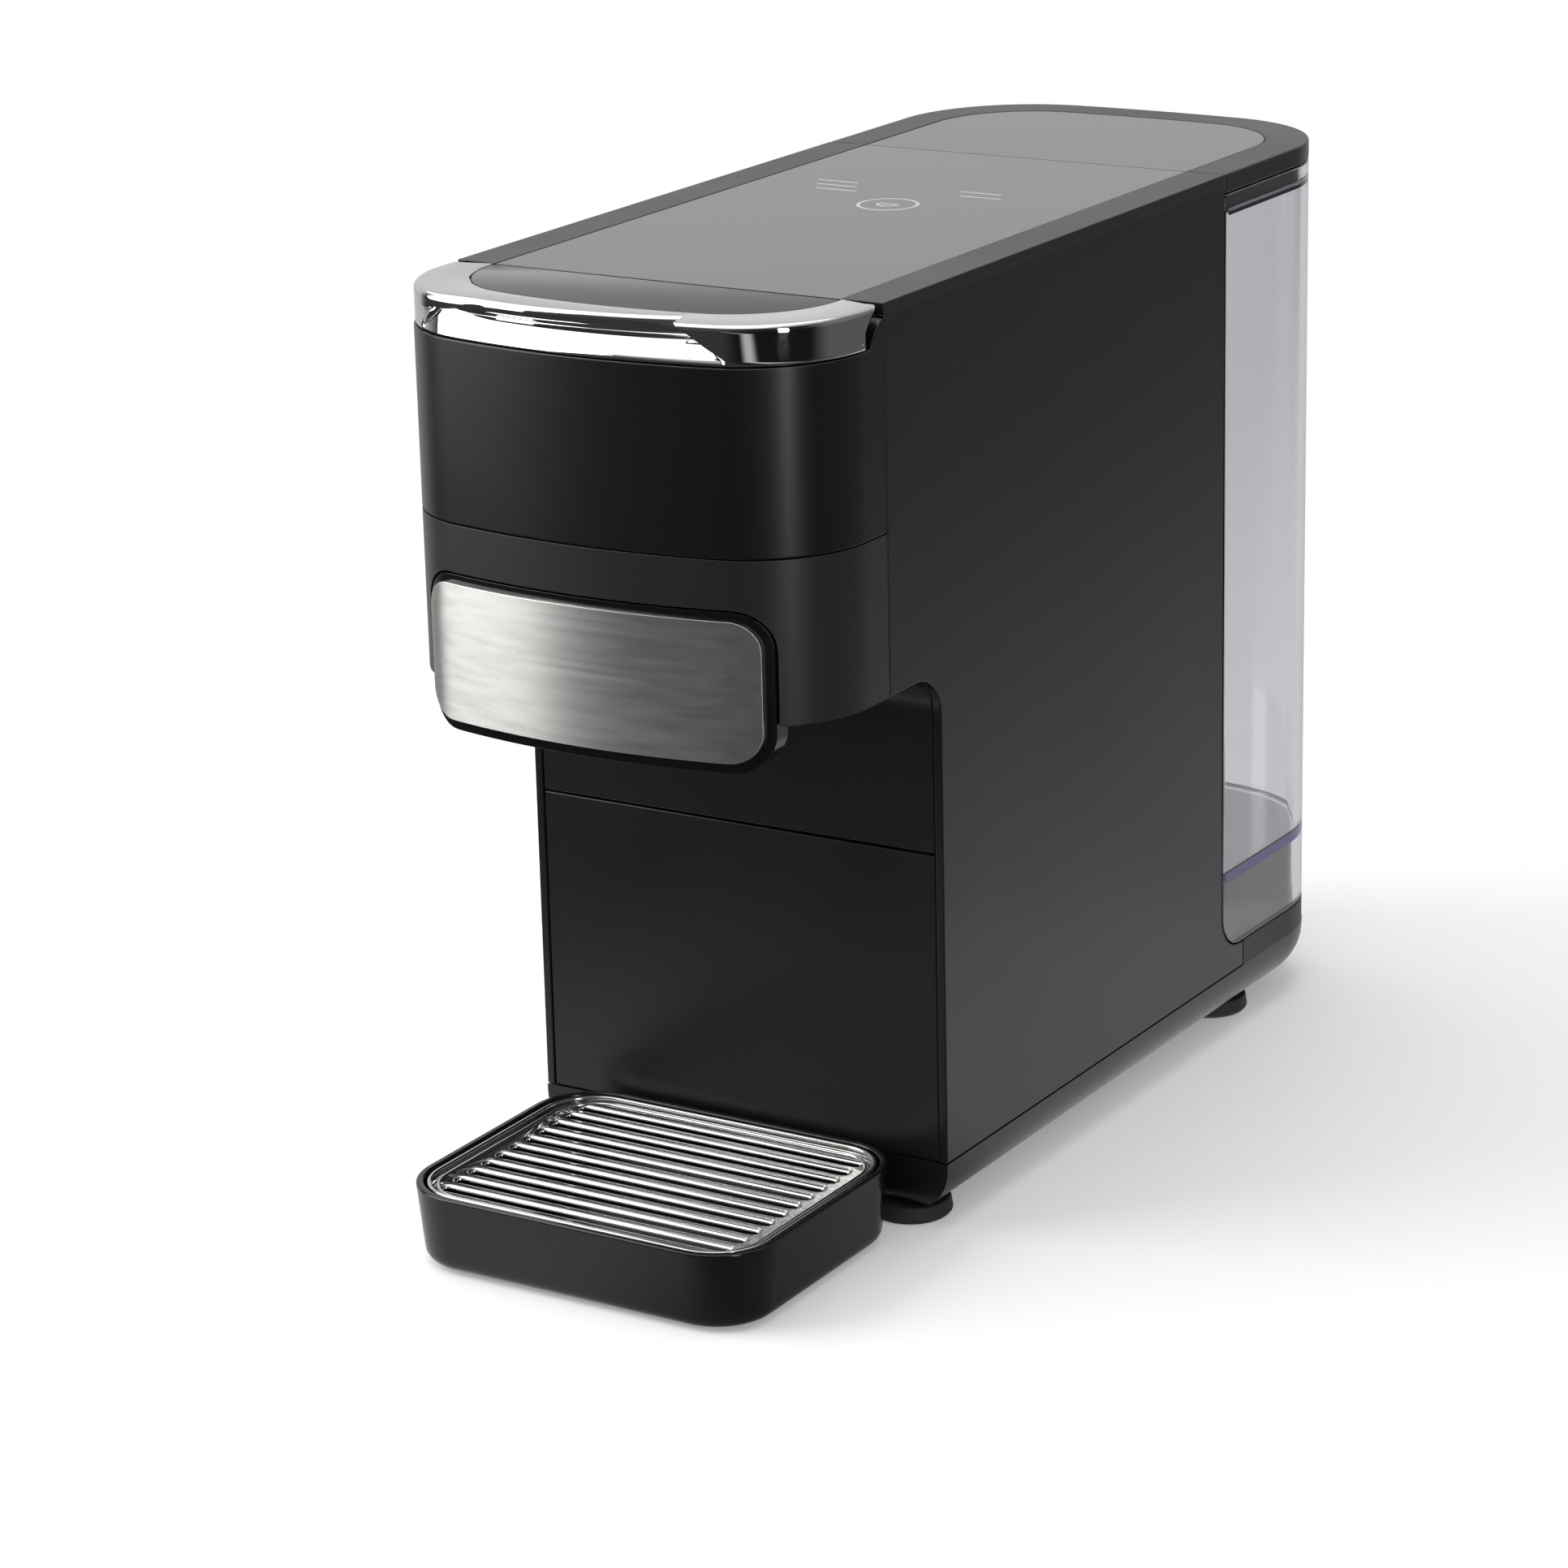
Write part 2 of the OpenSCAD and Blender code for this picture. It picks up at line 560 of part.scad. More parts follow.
module lever_shaft() color([0.6, 0.6, 0.62]) rod_x(-arm_x - arm_t - 1, arm_x + arm_t + 1, pivot_y, pivot_z, shaft_r);

// Spiral cam: its radius under the shaft shrinks evenly as the lever opens
function cam_points() = concat(
    [for (i = [0:15]) let (a = -8 + (cam_turn + 16) * i / 15)
        let (r = cam_r - piston_rise * max(0, a) / lever_open)
        [r * sin(a), -r * cos(a)]],
    [for (i = [1:11]) let (a = cam_turn + 8 + (352 - cam_turn - 8) * i / 12)
        9.5 * [sin(a), -cos(a)]]);

module lever_cams() color([0.85, 0.82, 0.75]) both() difference() {
    across(cam_x, cam_x + cam_t) translate([pivot_y, pivot_z]) polygon(cam_points());
    rod_x(cam_x - 1, cam_x + cam_t + 1, pivot_y, pivot_z, shaft_r);
}

// ---------------------------------------------------------------- brew group
module at_brew() translate([0, -brew_y, 0]) children();

module brew_piston() color([0.8, 0.8, 0.78]) difference() {
    union() {
        at_brew() {
            translate([0, 0, crown_z + 2]) cylinder(h = 8, r = crown_r, $fn = 96);
            translate([0, 0, crown_z + 9]) cylinder(h = yoke_z - crown_z - 9 + eps, r = stem_r, $fn = 96);
        }
        block([-16, -brew_y - 9, yoke_z], [16, pivot_y + 5, yoke_z + 5]);
        both() block([cam_x, pivot_y - 0.2, yoke_z + 5 - eps], [cam_x + cam_t, pivot_y + 5, follower_z]);
    }
    at_brew() {
        translate([0, 0, crown_z]) cylinder(h = 5, r = 12, $fn = 64);
        translate([0, 0, crown_z]) cylinder(h = yoke_z - crown_z + 7, r = 3 + run_fit, $fn = 48);
    }
}

module piston_seal() color([0.75, 0.3, 0.2]) at_brew() tube(crown_z, crown_z + 2, crown_r - 2, 13);

module piercing_pins() color([0.7, 0.7, 0.72]) at_brew() for (a = [90, 210, 330]) rotate(a)
    translate([8, 0, crown_z + 0.4]) cylinder(h = 4.6, r = 0.9, $fn = 24);

module coil(z0, z1, r, wire, turns) {
    n = turns * 14;
    m = 6;
    pts = [for (i = [0:n], j = [0:m - 1])
        let (a = 360 * turns * i / n, b = 360 * j / m, rr = r + wire * cos(b))
        [rr * cos(a), rr * sin(a), z0 + wire + (z1 - z0 - 2 * wire) * i / n + wire * sin(b)]];
    faces = concat([[for (j = [0:m - 1]) j]], [[for (j = [m - 1:-1:0]) n * m + j]],
        [for (i = [0:n - 1], j = [0:m - 1]) [i * m + j, (i + 1) * m + j, (i + 1) * m + (j + 1) % m, i * m + (j + 1) % m]]);
    polyhedron(pts, faces);
}

module piston_springs() color([0.6, 0.6, 0.6]) at_brew() for (s = [-1, 1])
    translate([s * (stem_r + 4.5), 0, 0]) coil(guide_z + guide_t + 1.05, yoke_z - 0.05, 3, 0.5, 4);

module inlet_elbow() color([0.8, 0.8, 0.78]) at_brew() {
    z = yoke_z + 12;
    translate([0, 0, yoke_z - 8]) cylinder(h = z - yoke_z + 8, r = 3, $fn = 48);
    translate([0, 0, z]) sphere(r = 3.4, $fn = 48);
    run([0, 0, z], [-17, 0, z], 3);
}

// ---------------------------------------------------------------- drawer
module drawer_body() color([0.04, 0.04, 0.042]) difference() {
    union() {
        intersection() {
            block([-drawer_w / 2, -head_reach, drawer_z], [drawer_w / 2, drawer_back, cup_top_z - 0.6]);
            slab(0, big) head_plan(bezel_t + 0.2, drawer_back);
        }
        both() intersection() {
            block([drawer_w / 2 - 1, -head_reach, rail_z + rail_t + 0.3], [wall_x - 0.5, drawer_back, rail_z + rail_t + 4]);
            slab(0, big) head_plan(bezel_t + 0.2, drawer_back);
        }
    }
    at_brew() {
        translate([0, 0, cup_top_z - cup_depth - 2]) cylinder(h = 40, r = cup_r + 0.1, $fn = 96);
        translate([0, 0, drawer_z - 1]) cylinder(h = 20, r = 6, $fn = 64);
    }
    both() block([cup_r + 5, -head_reach + 14, drawer_z - 1], [drawer_w / 2 - 3, drawer_back - 4, cup_top_z - 4]);
}

module capsule_cup() color([0.7, 0.71, 0.72]) at_brew() difference() {
    translate([0, 0, cup_top_z - cup_depth - 2]) cylinder(h = cup_depth + 2, r = cup_r, $fn = 96);
    translate([0, 0, cup_top_z - 1.4]) cylinder(h = 3, r = flange_r, $fn = 96);
    translate([0, 0, cup_top_z - cup_depth]) cylinder(h = cup_depth + 1, r = capsule_r, $fn = 96);
    translate([0, 0, cup_top_z - cup_depth - 3]) cylinder(h = 5, r = 4, $fn = 48);
}

module drawer_spout() color([0.05, 0.05, 0.05]) at_brew() translate([0, 0, drawer_z - 9])
    rotate_extrude($fn = 64) polygon([[3.2, 0], [5.2, 0], [9, 7], [9, 9], [5.9, 9], [5.9, 12], [3.2, 12]]);

module drawer_bezel() color([0.03, 0.03, 0.032]) intersection() {
    along(-head_reach - 5, -8) bezel_front(0, bezel_z);
    difference() {
        slab(0, big) head_plan(0.2, -8);
        slab(-1, big + 1) head_plan(bezel_t + 0.2, -7);
    }
}

module drawer_plate() color([0.72, 0.71, 0.69]) intersection() {
    along(-head_reach - 5, -8) bezel_front(plate_margin, bezel_z + plate_margin + 1);
    difference() {
        slab(0, big) head_plan(-plate_proud, -8);
        slab(-1, big + 1) head_plan(0.2, -7);
    }
}

// ---------------------------------------------------------------- drip tray
function tray_flank(x, e) = concat([[x - tray_draft - tray_edge_r, tray_bottom + e]],
    arc(x - tray_draft - tray_edge_r, tray_bottom + tray_edge_r, tray_edge_r - e, -90, 0, 5),
    [[x - e, tray_z + 1]]);
function both_flanks(f) = concat(f, [for (i = [len(f) - 1:-1:0]) [-f[i][0], f[i][1]]]);
module tray_plan(e) polygon(round_rect(e - tray_w / 2, tray_y0 + e, tray_w / 2 - e, tray_back - e, tray_r - e));

// Drafted box with round corners: a revolve at each corner and two straight sweeps between them
module tray_form(e, top) {
    cx = tray_w / 2 - tray_r;
    cy = (tray_back - tray_y0) / 2 - tray_r;
    mid = (tray_back + tray_y0) / 2;
    flank = tray_flank(tray_r, e);
    intersection() {
        slab(0, top) square(big, center = true);
        translate([0, mid, 0]) union() {
            for (x = [-cx, cx], y = [-cy, cy]) translate([x, y, 0])
                rotate_extrude($fn = 64) polygon(concat([[0, tray_bottom + e]], flank, [[0, tray_z + 1]]));
            across(-cx, cx) polygon(both_flanks([for (p = flank) p + [cy, 0]]));
            along(-cy, cy) polygon(both_flanks([for (p = flank) p + [cx, 0]]));
        }
    }
}

module drip_tray() color([0.03, 0.03, 0.033]) {
    difference() {
        tray_form(0, tray_z);
        tray_form(tray_t + 1.8, tray_z + 1);
        slab(ledge_z, tray_z + 1) tray_plan(rim_w - 0.8);
    }
    block([-tongue_w / 2, tray_back - 3, tongue_z], [tongue_w / 2, tray_back + 22, tongue_z + tongue_h]);
}

module slot_shape() polygon(concat(arc(slot_l / 2 - slot_w / 2, 0, slot_w / 2, -90, 90, 6),
    arc(slot_w / 2 - slot_l / 2, 0, slot_w / 2, 90, 270, 6)));

module drip_grille() color([0.8, 0.8, 0.82]) {
    mid = (tray_y0 + tray_back) / 2;
    difference() {
        slab(ledge_z + 0.3, tray_z - 0.3) tray_plan(rim_w);
        slab(ledge_z + 0.3 + grille_t, tray_z + 1) tray_plan(rim_w + lip_w);
        for (i = [0:slot_n - 1]) translate([0, mid + (i - (slot_n - 1) / 2) * slot_pitch, 0])
            slab(ledge_z - 1, tray_z) slot_shape();
    }
    difference() {                                                       // bead inside the lip
        slab(ledge_z + grille_t, ledge_z + grille_t + 0.9) tray_plan(rim_w + lip_w + 1.2);
        slab(ledge_z, tray_z) tray_plan(rim_w + lip_w + 2);
    }
}

// ---------------------------------------------------------------- water tank
module tank_side_cut() across(-half_w - 1, half_w + 1) polygon(concat(
    arc(tank_y + tank_foot_r, tank_z + tank_foot_r, tank_foot_r, 180, 270, 8),
    [[rear_y + 1, tank_z], [rear_y + 1, tank_top], [tank_y, tank_top]]));

module water_tank() color([0.85, 0.88, 0.95, 0.35]) difference() {
    intersection() {
        slab(tank_z, tank_top) tank_plan(0, tank_y);
        tank_side_cut();
    }
    slab(tank_floor + 3, tank_top + 1) tank_plan(tank_t, tank_y + tank_t);
    slab(tank_z - 1, tank_floor) tank_plan(tank_t, tank_y + tank_t);
    translate([0, valve_y, tank_floor - 1]) cylinder(h = 6, r = valve_r, $fn = 64);
}

module tank_lid() color([0.04, 0.04, 0.042]) {
    difference() {
        slab(lid_z, body_h) tank_plan(0, trunk_l + seam_gap);
        slab(body_h - 1.8, body_h + 1) lid_inlay_plan(0);
        slab(lid_z - 1, body_h - 3.6) tank_plan(tank_t + 3, tank_y + tank_t + 3);
    }
    difference() {
        slab(lid_z - lid_skirt, lid_z + eps) tank_plan(tank_t + 0.5, tank_y + tank_t + 0.5);
        slab(lid_z - lid_skirt - 1, lid_z + 1) tank_plan(tank_t + 3, tank_y + tank_t + 3);
    }
}

module lid_inlay_plan(e) mirror([0, 1])
    bow_plan(half_w - margin_w, rear_y - margin_w, tank_bow_r, tank_corner_r - 10, e, -trunk_l - seam_gap - e);

module lid_inlay() color([0.12, 0.12, 0.13]) slab(body_h - 1.8, body_h - 0.1) lid_inlay_plan(0.12);

module at_valve() translate([0, valve_y, 0]) children();

module valve_seat() color([0.9, 0.9, 0.9]) at_valve() difference() {
    union() {
        translate([0, 0, tank_floor + 3]) cylinder(h = 2.4, r = valve_r + 3, $fn = 64);
        translate([0, 0, tank_floor - 4]) cylinder(h = 7.4, r = valve_r - 0.05, $fn = 64);
    }
    translate([0, 0, tank_floor - 5]) cylinder(h = 12, r = 3.2, $fn = 48);
}

module valve_poppet() color([0.2, 0.2, 0.22]) at_valve() {
    translate([0, 0, tank_floor - 3]) cylinder(h = 9, r = 3.14, $fn = 48);
    translate([0, 0, tank_floor + 5.7]) cylinder(h = 2.2, r = 5, $fn = 48);
}

module tank_dock() color([0.12, 0.12, 0.13]) difference() {
    union() {
        slab(pan_seam_z + eps, tank_z - seam_gap) tank_plan(0, trunk_l + dock_seam + seam_gap);
        block([-fit_w, trunk_l + eps, pan_seam_z + eps], [fit_w, trunk_l + 20, tank_z - seam_gap]);
        slab(tank_z - 1, tank_floor - 0.6) tank_plan(tank_t + 1, tank_y + tank_t + 1);
    }
    at_valve() {
        translate([0, 0, tank_floor - 10]) cylinder(h = 12, r = valve_r + 3.4, $fn = 64);
        translate([0, 0, feed_z]) cylinder(h = 20, r = 2, $fn = 48);
    }
    rod_y(trunk_l - 1, trunk_l + 14, meter_x, feed_z, 2.5 + run_fit);
    rod_y(trunk_l + 13, valve_y, meter_x, feed_z, 2);
    rod_x(0, meter_x, valve_y, feed_z, 2);
}

module dock_seal() color([0.5, 0.2, 0.15]) at_valve() tube(tank_floor - 10, tank_floor - 4.3, valve_r + 3.3, 3.4);

// ---------------------------------------------------------------- water path
pump_y = 62;
pump_x = -24;
pump_z = 34;
pump_r = 17;
pump_l = 58;
block_y0 = 52;
block_l = 72;
port_x = 15;
port_z = shelf_z + shelf_t + 16;
meter_x = 20;
meter_y = 158;
feed_z = 24;
hose_x = -42;
hose_y = 38;
hot_z = band_seam_z - 2;

module water_pump() color([0.75, 0.72, 0.6]) {
    rod_y(pump_y, pump_y + pump_l, pump_x, pump_z, 9);
    rod_y(pump_y + 12, pump_y + 44, pump_x, pump_z, pump_r);
    block([pump_x - 19, pump_y + 16, pump_z - 15], [pump_x + 19, pump_y + 40, pump_z + 15]);
    rod_y(pump_y - 12, pump_y + eps, pump_x, pump_z, 4.5);
    rod_y(pump_y + pump_l - eps, pump_y + pump_l + 10, pump_x, pump_z, 3.5);
}

module pump_mounts() color([0.02, 0.02, 0.02]) for (y = [pump_y + 2, pump_y + 47]) difference() {
    block([pump_x - 14, y, pan_floor], [pump_x + 14, y + 7, pump_z + 6]);
    rod_y(y - 1, y + 8, pump_x, pump_z, 9);
}

module thermoblock() color([0.62, 0.63, 0.65]) {
    z = shelf_z + shelf_t;
    y1 = block_y0 + block_l;
    block([-28, block_y0, z + 4], [28, y1, z + 30]);
    for (i = [0:6]) block([i * 7.5 - 24, block_y0 + 4, z + 29], [i * 7.5 - 21, y1 - 4, z + 36]);
    for (x = [-22, 18], y = [block_y0 + 4, y1 - 8]) block([x, y, z], [x + 4, y + 4, z + 5]);
    rod_y(block_y0 - 8, block_y0 + 1, -port_x, port_z, 4);
    rod_y(y1 - 1, y1 + 8, port_x, port_z, 4);
}

module thermal_cutout() color([0.85, 0.85, 0.85]) {
    y = block_y0 + block_l / 2;
    rod_x(28, 33, y, port_z, 8);
    block([33 - eps, y - 3, port_z - 7], [36, y + 3, port_z + 7]);
}

module flow_meter() color([0.85, 0.85, 0.86]) {
    translate([meter_x, meter_y, pan_floor]) cylinder(h = 12, r = 6, $fn = 48);
    translate([meter_x, meter_y, pan_floor + 12 - eps]) cylinder(h = 18, r = 13, $fn = 64);
    rod_y(meter_y + 11, meter_y + 19, meter_x, feed_z, 3.5);
    rod_y(meter_y - 19, meter_y - 11, meter_x, feed_z, 3.5);
}

module suction_hose() color([0.85, 0.87, 0.9]) rod_y(meter_y + 19.05, trunk_l + 14, meter_x, feed_z, 2.5);

module feed_hose() color([0.85, 0.87, 0.9]) {
    y0 = meter_y - 19.05;
    y1 = pump_y + pump_l + 10.05;
    hose([[meter_x, y0, feed_z], [meter_x, y1 + 5, feed_z], [pump_x, y1 + 5, pump_z], [pump_x, y1, pump_z]], 2.5);
}

module pressure_hose() color([0.9, 0.9, 0.92])
    hose([[pump_x, pump_y - 12.05, pump_z], [pump_x, hose_y, pump_z], [hose_x, hose_y, pump_z],
          [hose_x, hose_y, port_z], [-port_x, hose_y, port_z], [-port_x, block_y0 - 8.05, port_z]], 2.2);

module hot_hose() color([0.9, 0.9, 0.92]) {
    z = yoke_z + 12;
    y = post_y + 5;
    back = block_y0 + block_l + 8.05;
    hose([[-17.05, -brew_y, z], [-30, -brew_y, z], [-30, y, z], [-30, y, hot_z], [port_x, y, hot_z],
          [port_x, back + 8, hot_z], [port_x, back + 8, port_z], [port_x, back, port_z]], 2.2);
}

module control_board() color([0.02, 0.25, 0.12]) translate([fit_w - 22.3, post_y + 31, shelf_z + shelf_t]) {
    block([0, 0, 0], [board_t, 90, 70]);
    block([board_t - eps, 10, 10], [11, 36, 34]);                        // transformer
    block([board_t - eps, 44, 14], [9, 62, 30]);                         // relay
    rod_x(board_t - eps, 12, 76, 44, 7);                                 // capacitor
    block([-6, 66, 8], [eps, 80, 30]);                                   // heat sink
}

place() base_pan();
place() rubber_feet();
place() base_screws();
place() side_panel_left();
place() side_panel_right();
place() column_panel_lower();
place() column_panel_upper();
place() top_frame();
place() touch_glass();
place() touch_board();
place() rear_cover();
place() chassis();
place() head_band_upper();
place() head_band_lower();
place() brew_frame();
place() frame_screws();
place() lever_frame();
place() lever_inlay();
place() lever_arms();
place() lever_shaft();
place() lever_cams();
place() brew_piston();
place() piston_seal();
place() piercing_pins();
place() piston_springs();
place() inlet_elbow();
place() drawer_body();
place() drawer_bezel();
place() drawer_plate();
place() capsule_cup();
place() drawer_spout();
place() drip_tray();
place() drip_grille();
place() water_tank();
place() tank_lid();
place() lid_inlay();
place() valve_seat();
place() valve_poppet();
place() tank_dock();
place() dock_seal();
place() water_pump();
place() pump_mounts();
place() thermoblock();
place() thermal_cutout();
place() flow_meter();
place() suction_hose();
place() feed_hose();
place() pressure_hose();
place() hot_hose();
place() control_board();
place() cord_gland();
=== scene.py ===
import json
import math

import bmesh
import bpy
from mathutils import Matrix, Vector


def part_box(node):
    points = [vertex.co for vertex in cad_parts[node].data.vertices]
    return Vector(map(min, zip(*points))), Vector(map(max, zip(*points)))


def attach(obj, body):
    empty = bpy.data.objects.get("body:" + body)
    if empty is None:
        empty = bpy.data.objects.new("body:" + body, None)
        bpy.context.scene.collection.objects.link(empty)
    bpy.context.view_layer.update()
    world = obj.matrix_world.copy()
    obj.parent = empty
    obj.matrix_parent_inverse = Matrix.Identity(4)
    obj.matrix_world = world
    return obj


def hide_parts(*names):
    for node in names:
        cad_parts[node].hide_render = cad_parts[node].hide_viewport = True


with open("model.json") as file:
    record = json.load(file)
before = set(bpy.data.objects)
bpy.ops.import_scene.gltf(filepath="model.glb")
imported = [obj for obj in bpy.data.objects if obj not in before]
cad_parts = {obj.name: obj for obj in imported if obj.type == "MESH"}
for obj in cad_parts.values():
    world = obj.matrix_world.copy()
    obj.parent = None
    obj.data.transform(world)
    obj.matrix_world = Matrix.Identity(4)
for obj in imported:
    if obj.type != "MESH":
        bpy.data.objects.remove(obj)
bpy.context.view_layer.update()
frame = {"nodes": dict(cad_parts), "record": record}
nodes = frame["nodes"]
mm = 0.001
print("frame loaded:", len(nodes), "nodes")

view = {
    "azimuth": 31.79, "elevation": 17.61, "roll": -1.39,    # degrees
    "position": (0.66570, -1.12894, 0.51216),               # metres
    "focalLength": 5941.7, "frameWidth": 1932.0,            # pixels of the square frame
    "sensor": 36.0,                                         # mm
    "clipEnd": 20.0,                                        # metres
}


def addCamera():
    azimuth, elevation, roll = (math.radians(view[key]) for key in ("azimuth", "elevation", "roll"))
    level = math.cos(elevation)
    forward = Vector((-math.sin(azimuth) * level, math.cos(azimuth) * level, -math.sin(elevation)))
    right = Vector((math.cos(azimuth), math.sin(azimuth), 0.0))
    up = right.cross(forward)
    turnedRight = right * math.cos(roll) + up * math.sin(roll)
    turnedUp = up * math.cos(roll) - right * math.sin(roll)
    data = bpy.data.cameras.new("camera")
    data.sensor_width = view["sensor"]
    data.lens = view["focalLength"] / view["frameWidth"] * view["sensor"]
    data.clip_end = view["clipEnd"]
    camera = bpy.data.objects.new("camera", data)
    turn = Matrix((turnedRight, turnedUp, -forward)).transposed()
    camera.matrix_world = Matrix.Translation(view["position"]) @ turn.to_4x4()
    bpy.context.scene.collection.objects.link(camera)
    bpy.context.scene.camera = camera


# each lamp: place, point it looks at, width, height, power in watts
lamps = {
    "topSoftbox": ((-0.34, -0.05, 1.35), (-0.05, 0.0, 0.15), 1.7, 1.7, 12.0),
    "leftSoftbox": ((-1.08, -0.80, 0.62), (0.0, -0.05, 0.20), 0.95, 1.25, 15.0),
    "rightStrip": ((1.15, -0.78, 0.30), (0.0, -0.05, 0.20), 0.20, 1.0, 6.0),
}


def addLamps():
    for name, (spot, target, width, height, power) in lamps.items():
        data = bpy.data.lights.new(name, "AREA")
        data.shape = "RECTANGLE"
        data.size, data.size_y, data.energy = width, height, power
        lamp = bpy.data.objects.new(name, data)
        lamp.location = spot
        lamp.rotation_euler = (Vector(target) - Vector(spot)).to_track_quat("-Z", "Y").to_euler()
        bpy.context.scene.collection.objects.link(lamp)


def setSocket(tree, socket, value):
    # a value is a number or another node's output
    if isinstance(value, bpy.types.NodeSocket):
        tree.links.new(value, socket)
    else:
        socket.default_value = value


def easeRange(tree, source, span, toMin, toMax):
    ramp = tree.nodes.new("ShaderNodeMapRange")
    ramp.interpolation_type = "SMOOTHSTEP"
    for socket, value in zip(("Value", "From Min", "From Max", "To Min", "To Max"), (source, *span, toMin, toMax)):
        setSocket(tree, ramp.inputs[socket], value)
    return ramp.outputs[0]


def mathNode(tree, operation, first, second=0.0):
    node = tree.nodes.new("ShaderNodeMath")
    node.operation = operation
    setSocket(tree, node.inputs[0], first)
    setSocket(tree, node.inputs[1], second)
    return node.outputs[0]


def splitCoords(tree, kind):
    coords = tree.nodes.new("ShaderNodeTexCoord")
    split = tree.nodes.new("ShaderNodeSeparateXYZ")
    tree.links.new(coords.outputs[kind], split.inputs[0])
    return coords.outputs[kind], split.outputs


def seenRays(tree):
    # 1 for rays that show a thing as it is, and the kind of ray that mirrors send
    rays = tree.nodes.new("ShaderNodeLightPath")
    seen = mathNode(tree, "MAXIMUM", rays.outputs["Is Camera Ray"], rays.outputs["Is Transmission Ray"])
    return seen, rays.outputs["Is Glossy Ray"]


def mixNumbers(tree, share, first, second):
    node = tree.nodes.new("ShaderNodeMix")
    for socket, value in zip(node.inputs[0:1] + node.inputs[2:4], (share, first, second)):
        setSocket(tree, socket, value)
    return node.outputs[0]


def mixShaders(tree, share, first, second):
    node = tree.nodes.new("ShaderNodeMixShader")
    for socket, value in zip(node.inputs, (share, first, second)):
        tree.links.new(value, socket)
    return node.outputs[0]


studio = {
    "backdrop": 1.25, "ambient": 0.65,                      # what camera rays and diffuse rays meet
    # mirrors meet a room that is bright behind the machine and above it, and dim in front and at the right
    "front": 0.10, "behind": 0.95, "above": 1.0, "rightShare": 0.30,
    "turnY": (-0.25, 0.30), "turnZ": (0.50, 0.85), "turnX": (0.05, 0.55),
}


def addWorld():
    world = bpy.data.worlds.new("studio")
    world.use_nodes = True
    tree = world.node_tree
    tree.nodes.clear()
    seen, glossy = seenRays(tree)
    way = splitCoords(tree, "Generated")[1]
    behind = easeRange(tree, way["Y"], studio["turnY"], studio["front"], studio["behind"])
    above = easeRange(tree, way["Z"], studio["turnZ"], 0.0, studio["above"])
    rightDim = easeRange(tree, way["X"], studio["turnX"], 1.0, studio["rightShare"])
    room = mathNode(tree, "MAXIMUM", mathNode(tree, "MULTIPLY", behind, rightDim), above)
    plain = mixNumbers(tree, seen, studio["ambient"], studio["backdrop"])
    background = tree.nodes.new("ShaderNodeBackground")
    output = tree.nodes.new("ShaderNodeOutputWorld")
    tree.links.new(mixNumbers(tree, glossy, plain, room), background.inputs["Strength"])
    tree.links.new(background.outputs[0], output.inputs["Surface"])
    bpy.context.scene.world = world


floorLook = {                                               # lengths in metres
    "size": 12.0, "tone": 0.86, "roughness": 0.7, "specular": 0.1, "lift": 0.20, "whiteFrom": (0.30, 1.10),
    # mirrors meet a painted reflection on it: bright behind the machine, dark in front, pale close by with painted
    # shadow at the right front, and one painted strip of light at the right
    "front": 0.05, "behind": 0.62, "turnY": (-0.30, 0.20), "rightShare": 0.22, "turnX": (0.12, 0.50),
    "near": 0.75, "nearReach": (0.22, 0.29), "nearX": (-0.02, 0.07), "nearRightShare": 0.15, "nearY": (-0.10, 0.0),
    "strip": 0.60, "stripX": 0.62, "stripEdge": (0.02, 0.14), "stripY": (-0.20, -0.35),
}


